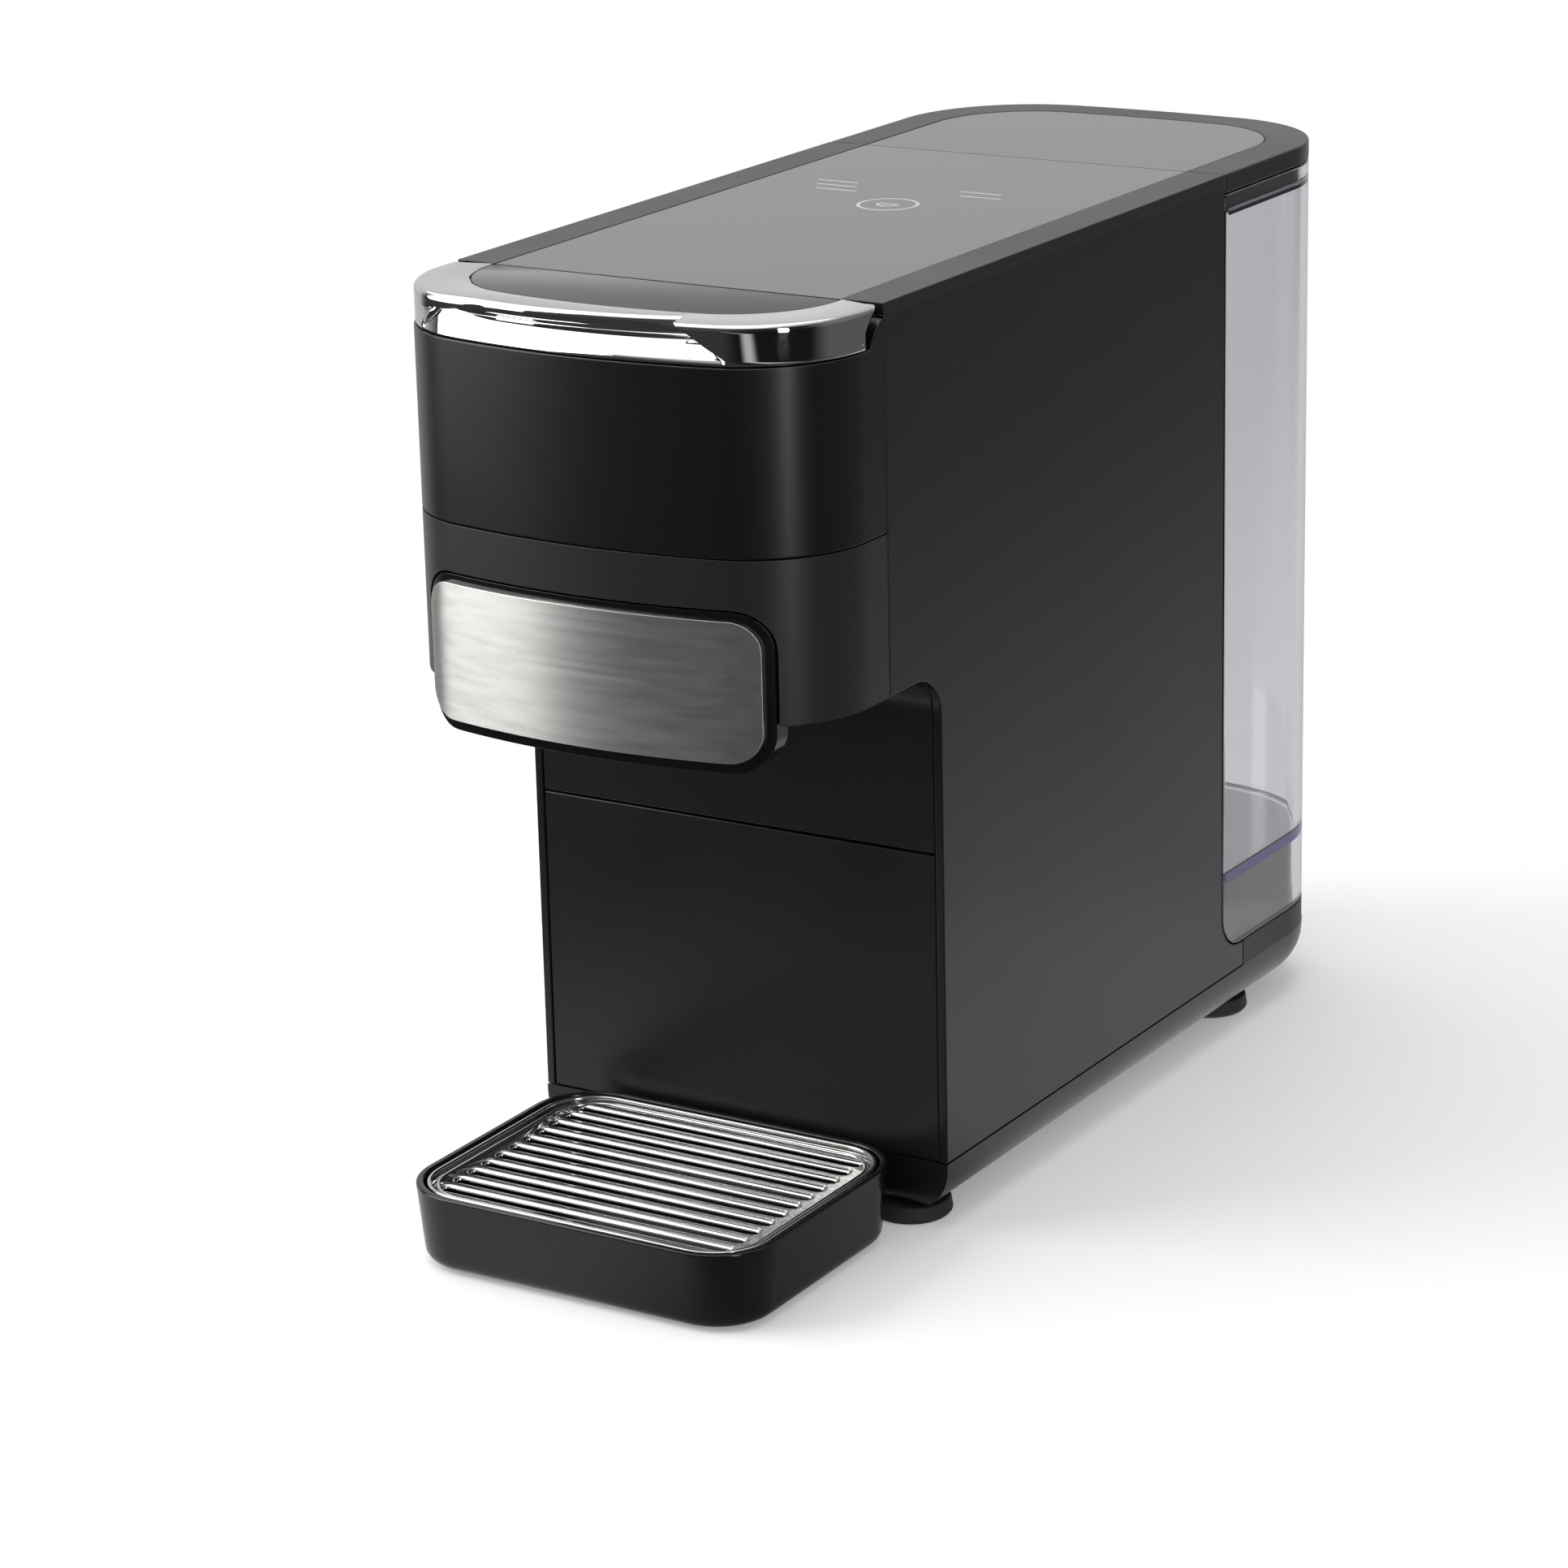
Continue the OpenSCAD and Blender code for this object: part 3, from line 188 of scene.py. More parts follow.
def addFloor():
    half = floorLook["size"] / 2
    mesh = bpy.data.meshes.new("floor")
    mesh.from_pydata([(-half, -half, 0), (half, -half, 0), (half, half, 0), (-half, half, 0)], [], [(0, 1, 2, 3)])
    floor = bpy.data.objects.new("floor", mesh)
    bpy.context.scene.collection.objects.link(floor)
    material = bpy.data.materials.new("paleFloor")
    material.use_nodes = True
    tree = material.node_tree
    surface = tree.nodes["Principled BSDF"]
    surface.inputs["Base Color"].default_value = (floorLook["tone"],) * 3 + (1,)
    surface.inputs["Roughness"].default_value = floorLook["roughness"]
    surface.inputs["Specular IOR Level"].default_value = floorLook["specular"]
    surface.inputs["Emission Color"].default_value = (1, 1, 1, 1)
    seen, glossy = seenRays(tree)
    tree.links.new(mathNode(tree, "MULTIPLY", seen, floorLook["lift"]), surface.inputs["Emission Strength"])
    position, along = splitCoords(tree, "Object")
    length = tree.nodes.new("ShaderNodeVectorMath")
    length.operation = "LENGTH"
    tree.links.new(position, length.inputs[0])
    reach = length.outputs["Value"]

    # far from the machine the floor runs into the white backdrop
    white = tree.nodes.new("ShaderNodeEmission")
    far = mathNode(tree, "MULTIPLY", easeRange(tree, reach, floorLook["whiteFrom"], 0.0, 1.0), seen)
    plain = mixShaders(tree, far, surface.outputs[0], white.outputs[0])

    # what mirrors meet: the floor glows with a painted reflection, with painted shadow close by at the right front
    # and a painted strip of light
    behind = easeRange(tree, along["Y"], floorLook["turnY"], floorLook["front"], floorLook["behind"])
    rightDim = easeRange(tree, along["X"], floorLook["turnX"], 1.0, floorLook["rightShare"])
    near = easeRange(tree, reach, floorLook["nearReach"], floorLook["near"], 0.0)
    paintedShadowRight = easeRange(tree, along["X"], floorLook["nearX"], 1.0, floorLook["nearRightShare"])
    shaded = mathNode(tree, "MAXIMUM", paintedShadowRight, easeRange(tree, along["Y"], floorLook["nearY"], 0.0, 1.0))
    room = mathNode(tree, "MAXIMUM", mathNode(tree, "MULTIPLY", behind, rightDim),
                    mathNode(tree, "MULTIPLY", near, shaded))
    stripOff = mathNode(tree, "ABSOLUTE", mathNode(tree, "SUBTRACT", along["X"], floorLook["stripX"]))
    strip = mathNode(tree, "MULTIPLY", easeRange(tree, stripOff, floorLook["stripEdge"], floorLook["strip"], 0.0),
                     easeRange(tree, along["Y"], floorLook["stripY"], 0.0, 1.0))
    paintedReflection = tree.nodes.new("ShaderNodeEmission")
    tree.links.new(mathNode(tree, "ADD", room, strip), paintedReflection.inputs["Strength"])
    whole = mixShaders(tree, glossy, plain, paintedReflection.outputs[0])
    tree.links.new(whole, tree.nodes["Material Output"].inputs["Surface"])
    mesh.materials.append(material)


addCamera()
addLamps()
addWorld()
addFloor()
bpy.context.scene.view_settings.view_transform = "Standard"
print("camera, lamps and floor placed")

noiseSpan = (0.3, 0.7)                                      # most of a noise lies between these
bumpDepth = 0.05                                            # mm


def startMaterial(name, color, roughness, metallic=0.0, ior=1.5):
    material = bpy.data.materials.new(name)
    material.use_nodes = True
    surface = material.node_tree.nodes["Principled BSDF"]
    surface.inputs["Base Color"].default_value = tuple(color) + (1,)
    surface.inputs["Roughness"].default_value = roughness
    surface.inputs["Metallic"].default_value = metallic
    surface.inputs["IOR"].default_value = ior
    return material, material.node_tree, surface


def addNoise(tree, scale, stretch=(1, 1, 1), detail=4.0):
    coords = tree.nodes.new("ShaderNodeTexCoord")
    mapping = tree.nodes.new("ShaderNodeMapping")
    mapping.inputs["Scale"].default_value = stretch
    noise = tree.nodes.new("ShaderNodeTexNoise")
    noise.inputs["Scale"].default_value = scale
    noise.inputs["Detail"].default_value = detail
    tree.links.new(coords.outputs["Object"], mapping.inputs["Vector"])
    tree.links.new(mapping.outputs[0], noise.inputs["Vector"])
    return noise.outputs["Fac"]


def spreadValue(tree, source, low, high):
    spread = tree.nodes.new("ShaderNodeMapRange")
    for socket, value in zip(("Value", "From Min", "From Max", "To Min", "To Max"), (source, *noiseSpan, low, high)):
        setSocket(tree, spread.inputs[socket], value)
    return spread.outputs[0]


def spreadColor(tree, source, tone, low, high):
    mix = tree.nodes.new("ShaderNodeMix")
    mix.data_type = "RGBA"
    mix.inputs[6].default_value = tuple(low * part for part in tone) + (1,)
    mix.inputs[7].default_value = tuple(high * part for part in tone) + (1,)
    tree.links.new(spreadValue(tree, source, 0.0, 1.0), mix.inputs[0])
    return mix.outputs[2]


def addBump(tree, surface, source, strength):
    bump = tree.nodes.new("ShaderNodeBump")
    bump.inputs["Strength"].default_value = strength
    bump.inputs["Distance"].default_value = bumpDepth * mm
    tree.links.new(source, bump.inputs["Height"])
    tree.links.new(bump.outputs[0], surface.inputs["Normal"])


# moulded plastics: tone, roughness, width of the grain in mm, strength of the grain, refractive index
plastics = {
    "satinShell": ((0.0042, 0.0042, 0.0044), 0.33, 0.35, 0.10, 1.5),
    "satinHead": ((0.0038, 0.0038, 0.0040), 0.30, 0.30, 0.08, 1.5),
    "satinBand": ((0.0110, 0.0110, 0.0112), 0.36, 0.30, 0.08, 1.5),
    "mattFrame": ((0.0060, 0.0060, 0.0058), 0.38, 0.25, 0.10, 1.5),
    "inkCasing": ((0.0030, 0.0030, 0.0032), 0.17, 0.60, 0.01, 1.5),
    "innerBlack": ((0.0120, 0.0120, 0.0125), 0.50, 0.40, 0.12, 1.5),
    "innerLight": ((0.6200, 0.6150, 0.6000), 0.45, 0.40, 0.10, 1.5),
    "pumpBlue": ((0.0300, 0.0420, 0.0700), 0.45, 0.40, 0.12, 1.5),
    "footRubber": ((0.0140, 0.0140, 0.0145), 0.72, 0.55, 0.30, 1.5),
    "sealSilicone": ((0.2600, 0.0700, 0.0400), 0.55, 0.30, 0.08, 1.42),
    "markPrint": ((0.5200, 0.5200, 0.5250), 0.40, 0.30, 0.02, 1.5),
    "violetEdge": ((0.1700, 0.1500, 0.4600), 0.30, 0.60, 0.02, 1.5),
    # painted shade: a dark band at the tank's mouth
    "shadeEdge": ((0.0120, 0.0100, 0.0500), 0.30, 0.60, 0.02, 1.5),
    # painted highlight: a pale line at the tank's mouth
    "paintedHighlightEdge": ((0.6800, 0.6800, 0.7400), 0.30, 0.60, 0.02, 1.5),
    "hoseSilicone": ((0.7000, 0.6900, 0.6600), 0.40, 0.60, 0.08, 1.42),
}
plasticSpread = {"broadScale": 22.0, "roughness": (0.93, 1.07), "tone": (0.88, 1.12)}   # shares of the plain value


def makePlastic(name):
    tone, roughness, grain, strength, ior = plastics[name]
    material, tree, surface = startMaterial(name, tone, roughness, ior=ior)
    fine = addNoise(tree, 1.0 / (grain * mm), detail=2.0)
    broad = addNoise(tree, plasticSpread["broadScale"], detail=3.0)
    low, high = (roughness * share for share in plasticSpread["roughness"])
    tree.links.new(spreadValue(tree, broad, low, high), surface.inputs["Roughness"])
    tree.links.new(spreadColor(tree, fine, tone, *plasticSpread["tone"]), surface.inputs["Base Color"])
    addBump(tree, surface, fine, strength)
    return material


# glossy covers, a little uneven as if wiped: tone, roughness, refractive index
covers = {
    "glassTop": ((0.050, 0.049, 0.049), 0.10, 1.65),
    "glossInlay": ((0.035, 0.034, 0.031), 0.13, 1.55),
    "glossLid": ((0.045, 0.044, 0.044), 0.12, 1.60),
}
coverSpread = {
    "wipeScale": 9.0, "wipeStretch": (1.0, 0.35, 1.0), "roughness": (0.8, 1.3), "tone": (0.96, 1.04),
    "waveScale": 60.0, "waveStrength": 0.03,
}


def makeCover(name):
    tone, roughness, ior = covers[name]
    material, tree, surface = startMaterial(name, tone, roughness, ior=ior)
    wipe = addNoise(tree, coverSpread["wipeScale"], coverSpread["wipeStretch"], 5.0)
    low, high = (roughness * share for share in coverSpread["roughness"])
    tree.links.new(spreadValue(tree, wipe, low, high), surface.inputs["Roughness"])
    tree.links.new(spreadColor(tree, wipe, tone, *coverSpread["tone"]), surface.inputs["Base Color"])
    addBump(tree, surface, addNoise(tree, coverSpread["waveScale"], detail=1.0), coverSpread["waveStrength"])
    return material


# metals: tone, roughness, scale of the waves, their strength
metals = {
    "chrome": ((0.60, 0.61, 0.62), 0.035, 35.0, 0.02),
    "polishedSteel": ((0.58, 0.57, 0.56), 0.14, 120.0, 0.04),
    "zincCast": ((0.36, 0.37, 0.38), 0.38, 500.0, 0.25),
    "springSteel": ((0.46, 0.46, 0.47), 0.22, 300.0, 0.08),
    "castAluminium": ((0.52, 0.52, 0.53), 0.34, 400.0, 0.30),
}
metalSpread = {"fineScale": 900.0, "roughness": (0.8, 1.25), "tone": (0.97, 1.03)}


def makeMetal(name):
    tone, roughness, waves, strength = metals[name]
    material, tree, surface = startMaterial(name, tone, roughness, metallic=1.0)
    broad = addNoise(tree, waves, detail=2.0)
    fine = addNoise(tree, metalSpread["fineScale"], detail=2.0)
    low, high = (roughness * share for share in metalSpread["roughness"])
    tree.links.new(spreadValue(tree, fine, low, high), surface.inputs["Roughness"])
    tree.links.new(spreadColor(tree, broad, tone, *metalSpread["tone"]), surface.inputs["Base Color"])
    addBump(tree, surface, broad, strength)
    return material


brushedPlate = {
    "tone": (0.70, 0.69, 0.67), "roughness": (0.31, 0.37), "anisotropy": 0.85, "turn": 0.25,
    "streakHeight": 0.22, "streakLength": 26.0,             # mm
    "toneSpread": (0.93, 1.05), "wideShare": 0.10,
}


def makeBrushedSteel():
    tone = brushedPlate["tone"]
    material, tree, surface = startMaterial("brushedSteel", tone, brushedPlate["roughness"][0], 1.0)
    scale = 1.0 / (brushedPlate["streakHeight"] * mm)
    stretch = (brushedPlate["streakHeight"] / brushedPlate["streakLength"], 1.0, 1.0)
    streaks = addNoise(tree, scale, stretch, 3.0)
    wide = addNoise(tree, scale * brushedPlate["wideShare"], stretch, 2.0)
    tree.links.new(spreadColor(tree, streaks, tone, *brushedPlate["toneSpread"]), surface.inputs["Base Color"])
    tree.links.new(spreadValue(tree, wide, *brushedPlate["roughness"]), surface.inputs["Roughness"])
    surface.inputs["Anisotropic"].default_value = brushedPlate["anisotropy"]
    surface.inputs["Anisotropic Rotation"].default_value = brushedPlate["turn"]
    return material


tankPlastic = {
    "tone": (0.97, 0.97, 0.985), "roughness": (0.02, 0.05), "ior": 1.52,
    "tint": (0.50, 0.47, 0.84), "density": 13.0,            # what the thickness of the wall takes from the light
    "hazeScale": 30.0,
}


def makeClearTank():
    material, tree, surface = startMaterial("clearTank", tankPlastic["tone"], tankPlastic["roughness"][0],
                                            ior=tankPlastic["ior"])
    surface.inputs["Transmission Weight"].default_value = 1.0
    haze = addNoise(tree, tankPlastic["hazeScale"], detail=3.0)
    tree.links.new(spreadValue(tree, haze, *tankPlastic["roughness"]), surface.inputs["Roughness"])
    absorb = tree.nodes.new("ShaderNodeVolumeAbsorption")
    absorb.inputs["Color"].default_value = tankPlastic["tint"] + (1,)
    absorb.inputs["Density"].default_value = tankPlastic["density"]
    tree.links.new(absorb.outputs[0], tree.nodes["Material Output"].inputs["Volume"])
    return material


boardLook = {
    "scale": 160.0, "roughness": 0.35,
    "lacquer": (0.010, 0.090, 0.040), "lacquerLight": (0.012, 0.110, 0.050), "tracks": (0.020, 0.160, 0.070),
}


def makeBoard():
    material, tree, surface = startMaterial("circuitBoard", boardLook["lacquer"], boardLook["roughness"])
    tracks = tree.nodes.new("ShaderNodeTexBrick")
    coords = tree.nodes.new("ShaderNodeTexCoord")
    tracks.inputs["Scale"].default_value = boardLook["scale"]
    for socket, tone in (("Color1", "lacquer"), ("Color2", "lacquerLight"), ("Mortar", "tracks")):
        tracks.inputs[socket].default_value = boardLook[tone] + (1,)
    tree.links.new(coords.outputs["Object"], tracks.inputs["Vector"])
    tree.links.new(tracks.outputs["Color"], surface.inputs["Base Color"])
    return material


finishes = {name: makePlastic(name) for name in plastics}
finishes |= {name: makeCover(name) for name in covers}
finishes |= {name: makeMetal(name) for name in metals}
finishes |= {"brushedSteel": makeBrushedSteel(), "clearTank": makeClearTank(), "circuitBoard": makeBoard()}
print("materials made:", len(finishes))

bodyNodes = frame["record"]["behaviour"]["bodies"]
rounding = {"merge": 0.002, "flat": 0.3, "sharp": 32.0}     # mm, then degrees


def newObject(name, mesh):
    piece = bpy.data.objects.new(name, mesh)
    bpy.context.scene.collection.objects.link(piece)
    return piece


def rideFor(piece, node, replace=True):
    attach(piece, next(body for body, members in bodyNodes.items() if node in members))
    if replace:
        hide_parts(node)


def smoothBelow(work, degrees):
    # shades every face smooth and keeps edges sharper than the angle crisp
    for face in work.faces:
        face.smooth = True
    for edge in work.edges:
        edge.smooth = not edge.is_manifold or edge.calc_face_angle(0.0) < math.radians(degrees)


def roundedCopy(node, finish, slot, radius, segments=3):
    # a copy of the CAD piece with its doubles merged and its edges rounded as a mould leaves them
    mesh = nodes[node].data.copy()
    mesh.materials.clear()
    mesh.materials.append(finishes[finish])
    work = bmesh.new()
    work.from_mesh(mesh)
    bmesh.ops.remove_doubles(work, verts=work.verts, dist=rounding["merge"] * mm)
    bmesh.ops.dissolve_limit(work, angle_limit=math.radians(rounding["flat"]), verts=work.verts, edges=work.edges,
                             use_dissolve_boundaries=False)
    smoothBelow(work, rounding["sharp"])
    work.to_mesh(mesh)
    work.free()
    piece = newObject(node + "_shell", mesh)
    bevel = piece.modifiers.new("roundEdges", "BEVEL")
    bevel.width = radius * mm
    bevel.segments = segments
    bevel.limit_method = "ANGLE"
    bevel.angle_limit = math.radians(rounding["sharp"])
    bevel.use_clamp_overlap = True
    bevel.harden_normals = True
    bevel.miter_outer = "MITER_ARC"
    rideFor(piece, node)


# node: finish, material slot, radius of the rounded edges in mm, and steps of the rounding where it isn't 3
shells = {
    "base_pan": ("satinShell", "shell", 0.5),
    "side_panel_left": ("satinShell", "shell", 0.45),
    "side_panel_right": ("satinShell", "shell", 0.45),
    "column_panel_lower": ("satinShell", "panel", 0.4),
    "column_panel_upper": ("satinShell", "panel", 0.4),
    "rear_cover": ("satinShell", "shell", 0.4),
    "top_frame": ("mattFrame", "frame", 0.35),
    "head_band_upper": ("satinHead", "shell", 0.45),
    "head_band_lower": ("satinBand", "shell", 0.45),
    "drawer_bezel": ("inkCasing", "panel", 0.9),
    "drip_tray": ("inkCasing", "shell", 0.7),
    "rubber_feet": ("footRubber", "rubber", 0.5),
    "touch_glass": ("glassTop", "glass_top", 0.2),
    "drawer_plate": ("brushedSteel", "steel_plate", 0.8, 4),
    "water_tank": ("clearTank", "tank_clear", 0.4),
    "tank_lid": ("mattFrame", "frame", 0.6),
    "lid_inlay": ("glossLid", "glass_top", 0.3),
}
for node, values in shells.items():
    roundedCopy(node, *values)
print("shell pieces rounded:", len(shells))

inner = {
    "base_screws": "springSteel", "touch_board": "circuitBoard", "chassis": "innerBlack",
    "brew_frame": "innerBlack", "frame_screws": "springSteel", "lever_arms": "zincCast",
    "lever_shaft": "springSteel", "lever_cams": "zincCast", "brew_piston": "innerLight",
    "piston_seal": "sealSilicone", "piercing_pins": "springSteel", "piston_springs": "springSteel",
    "inlet_elbow": "innerLight", "drawer_body": "innerBlack", "capsule_cup": "innerBlack",
    "drawer_spout": "innerBlack", "valve_seat": "innerBlack", "valve_poppet": "innerLight",
    "tank_dock": "innerBlack", "dock_seal": "sealSilicone", "water_pump": "pumpBlue",
    "pump_mounts": "footRubber", "thermoblock": "castAluminium", "thermal_cutout": "innerLight",
    "flow_meter": "innerLight", "suction_hose": "hoseSilicone", "feed_hose": "hoseSilicone",
    "pressure_hose": "hoseSilicone", "hot_hose": "hoseSilicone", "control_board": "circuitBoard",
    "cord_gland": "footRubber",
}
for node, finish in inner.items():
    nodes[node].data.materials.clear()
    nodes[node].data.materials.append(finishes[finish])
print("inner pieces dressed:", len(inner))

treeMerge, treeSharp = 0.003, 35.0                          # mm and degrees, for meshes from node trees


def inMetres(sizes, finish):
    # lengths in mm become metres, counts stay whole
    values = {label: size if isinstance(size, int) else size * mm for label, size in sizes.items()}
    return values | {"Finish": finishes[finish]}


def startTree(name, values):
    # the tree's inputs are the named values; each gets a socket of its own kind
    tree = bpy.data.node_groups.new(name, "GeometryNodeTree")
    for label, value in values.items():
        kind = "Material" if isinstance(value, bpy.types.Material) else "Int" if isinstance(value, int) else "Float"
        tree.interface.new_socket(label, in_out="INPUT", socket_type="NodeSocket" + kind)
    tree.interface.new_socket("Geometry", in_out="OUTPUT", socket_type="NodeSocketGeometry")
    return tree, tree.nodes.new("NodeGroupInput").outputs


def addNode(tree, kind, source=None, mode=None, **sockets):
    # sockets are named as here: startAngle is the socket Start Angle; the source goes to the first one
    node = tree.nodes.new("GeometryNode" + kind)
    if mode:
        node.mode = mode
    for name, value in sockets.items():
        label = "".join(" " + letter if letter.isupper() else letter for letter in name).title()
        setSocket(tree, node.inputs[label], value)
    if source is not None:
        tree.links.new(source, node.inputs[0])
    return node.outputs[0]


def vector(tree, x=0.0, y=0.0, z=0.0):
    node = tree.nodes.new("ShaderNodeCombineXYZ")
    for socket, value in zip(node.inputs, (x, y, z)):
        setSocket(tree, socket, value)
    return node.outputs[0]


def join(tree, *parts):
    node = tree.nodes.new("GeometryNodeJoinGeometry")
    for part in parts:
        tree.links.new(part, node.inputs[0])
    return node.outputs[0]


def roundedLoop(tree, width, height, radius, count):
    loop = addNode(tree, "CurvePrimitiveQuadrilateral", width=width, height=height)
    return addNode(tree, "FilletCurve", loop, mode="POLY", count=count, radius=radius)


def finishTree(tree, geometry, material):
    solid = addNode(tree, "RealizeInstances", geometry)
    dressed = addNode(tree, "SetMaterial", solid, material=material)
    out = tree.nodes.new("NodeGroupOutput")
    tree.links.new(dressed, out.inputs[0])


def meshFromTree(name, tree, values):
    piece = newObject(name, bpy.data.meshes.new(name))
    maker = piece.modifiers.new("maker", "NODES")
    maker.node_group = tree
    labels = {item.name: item.identifier for item in tree.interface.items_tree if item.in_out == "INPUT"}
    for label, value in values.items():
        maker[labels[label]] = value
    graph = bpy.context.evaluated_depsgraph_get()
    mesh = bpy.data.meshes.new_from_object(piece.evaluated_get(graph), depsgraph=graph)
    piece.modifiers.remove(maker)
    piece.data = mesh
    work = bmesh.new()
    work.from_mesh(mesh)
    bmesh.ops.remove_doubles(work, verts=work.verts, dist=treeMerge * mm)
    bmesh.ops.recalc_face_normals(work, faces=work.faces)
    smoothBelow(work, treeSharp)
    work.to_mesh(mesh)
    work.free()
    return piece


grille = {                                                  # mm, and the number of slots
    "Width": 104.8, "Length": 82.3, "Corner": 15.4, "Sheet": 1.2, "Lip Width": 1.2, "Lip Height": 2.8,
    "Bead Inset": 3.0, "Bead": 0.62, "Slots": 11, "Slot Length": 91.0, "Slot Width": 3.0, "Slot Pitch": 6.6,
    "Roll": 1.0,
}


def makeGrille():
    values = inMetres(grille, "polishedSteel")
    tree, given = startTree("grilleMaker", values)
    slotRound, lipRound = 0.4999, 0.45                      # corner radius for one unit of width
    cornerSteps, slotSteps, lipSteps = 10, 9, 5

    def outline(inset, height):
        shrink = mathNode(tree, "MULTIPLY", inset, 2.0)
        loop = roundedLoop(tree, mathNode(tree, "SUBTRACT", given["Width"], shrink),
                           mathNode(tree, "SUBTRACT", given["Length"], shrink),
                           mathNode(tree, "SUBTRACT", given["Corner"], inset), cornerSteps)
        return addNode(tree, "Transform", loop, translation=vector(tree, z=height))

    # the slots lie in one row along y, about the middle
    gaps = mathNode(tree, "SUBTRACT", given["Slots"], 1)
    start = mathNode(tree, "MULTIPLY", mathNode(tree, "MULTIPLY", gaps, given["Slot Pitch"]), -0.5)
    places = addNode(tree, "MeshLine", count=given["Slots"], startLocation=vector(tree, y=start),
                     offset=vector(tree, y=given["Slot Pitch"]))
    rolls = mathNode(tree, "MULTIPLY", given["Roll"], 2.0)
    slotWidth = mathNode(tree, "ADD", given["Slot Width"], rolls)
    slot = roundedLoop(tree, mathNode(tree, "ADD", given["Slot Length"], rolls), slotWidth,
                       mathNode(tree, "MULTIPLY", slotWidth, slotRound), slotSteps)

    def alongRow(item):
        return addNode(tree, "RealizeInstances", addNode(tree, "InstanceOnPoints", places, instance=item))

    middle = mathNode(tree, "MULTIPLY", given["Lip Width"], 0.5)
    flat = addNode(tree, "FillCurve", join(tree, outline(middle, 0.0), alongRow(slot)))
    raised = addNode(tree, "ExtrudeMesh", flat, offsetScale=given["Sheet"], individual=False)
    sheet = join(tree, raised, addNode(tree, "FlipFaces", flat))

    # every slot's edge rolls down as a quarter round
    quarter = addNode(tree, "CurveArc", mode="RADIUS", resolution=8, radius=given["Roll"], startAngle=math.pi,
                      sweepAngle=math.pi / 2, connectCenter=True)
    rolled = alongRow(addNode(tree, "CurveToMesh", slot, profileCurve=quarter))
    rollZ = mathNode(tree, "SUBTRACT", given["Sheet"], given["Roll"])
    rolled = addNode(tree, "Transform", rolled, translation=vector(tree, z=rollZ))

    lipShape = roundedLoop(tree, given["Lip Width"], given["Lip Height"],
                           mathNode(tree, "MULTIPLY", given["Lip Width"], lipRound), lipSteps)
    lipPath = outline(middle, mathNode(tree, "MULTIPLY", given["Lip Height"], 0.5))
    lip = addNode(tree, "CurveToMesh", lipPath, profileCurve=lipShape)
    beadShape = addNode(tree, "CurvePrimitiveCircle", resolution=16, radius=given["Bead"])
    bead = addNode(tree, "CurveToMesh", outline(given["Bead Inset"], given["Sheet"]), profileCurve=beadShape)
    finishTree(tree, join(tree, sheet, rolled, lip, bead), given["Finish"])
    piece = meshFromTree("grille_steel", tree, values)
    low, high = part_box("drip_grille")
    piece.data.transform(Matrix.Translation(((low.x + high.x) / 2, (low.y + high.y) / 2, low.z)))
    return piece


grilleSteel = makeGrille()
rideFor(grilleSteel, "drip_grille")
print("grille stamped:", len(grilleSteel.data.polygons), "faces")


def planPoint(plan, t):
    # a plan has straight sides, round corners and a bowed front, which reaches to y = -reach
    # t runs around it from -3 to 3: side, corner, bow, corner, side; gives place and outward direction
    acrossHalf = plan["halfWidth"] - plan["corner"]
    centreGap = plan["bow"] - plan["corner"]
    turn = math.asin(acrossHalf / centreGap)
    bowY = plan["bow"] - plan["reach"]
    cornerY = bowY - math.sqrt(centreGap ** 2 - acrossHalf ** 2)
    side, step = math.copysign(1.0, t), abs(t)
    if step > 2.0:
        return side * plan["halfWidth"], cornerY, side, 0.0
    angle = turn * step if step <= 1.0 else turn + (math.pi / 2 - turn) * (step - 1.0)
    outX, outY = side * math.sin(angle), -math.cos(angle)
    if step <= 1.0:
        return plan["bow"] * outX, bowY + plan["bow"] * outY, outX, outY
    return side * acrossHalf + plan["corner"] * outX, cornerY + plan["corner"] * outY, outX, outY


def outlinePoint(plan, t, inset, height, endY, lean=0.0):
    # a point of the plan's outline moved inwards; past the corners the sides run on to endY
    x, y, outX, outY = planPoint(plan, t + lean)
    if abs(t) > 2.0:
        y += (abs(t) - 2.0) * (endY - y)
    return x - outX * inset, y - outY * inset, height


def outlineStops(perUnit, end=3):
    return [i / perUnit - end for i in range(2 * end * perUnit + 1)]


def meshFromRows(name, rows, finish, sharp, endFaces, ring=False):
    # joins rows of points in mm; endFaces gives corners of the closing faces: flat ones, then ones to be cut up
    work = bmesh.new()
    grid = [[work.verts.new((x * mm, y * mm, z * mm)) for x, y, z in row] for row in rows]
    for first, second in zip(grid, grid[1:] + grid[:1] if ring else grid[1:]):
        for i in range(len(first) - 1):
            work.faces.new((first[i], second[i], second[i + 1], first[i + 1]))
    flat, uneven = endFaces(grid)
    for corners in flat:
        work.faces.new(corners)
    bmesh.ops.triangulate(work, faces=[work.faces.new(corners) for corners in uneven])
    bmesh.ops.recalc_face_normals(work, faces=work.faces)
    smoothBelow(work, sharp)
    mesh = bpy.data.meshes.new(name)
    work.to_mesh(mesh)
    work.free()
    mesh.materials.append(finishes[finish])
    return newObject(name, mesh)


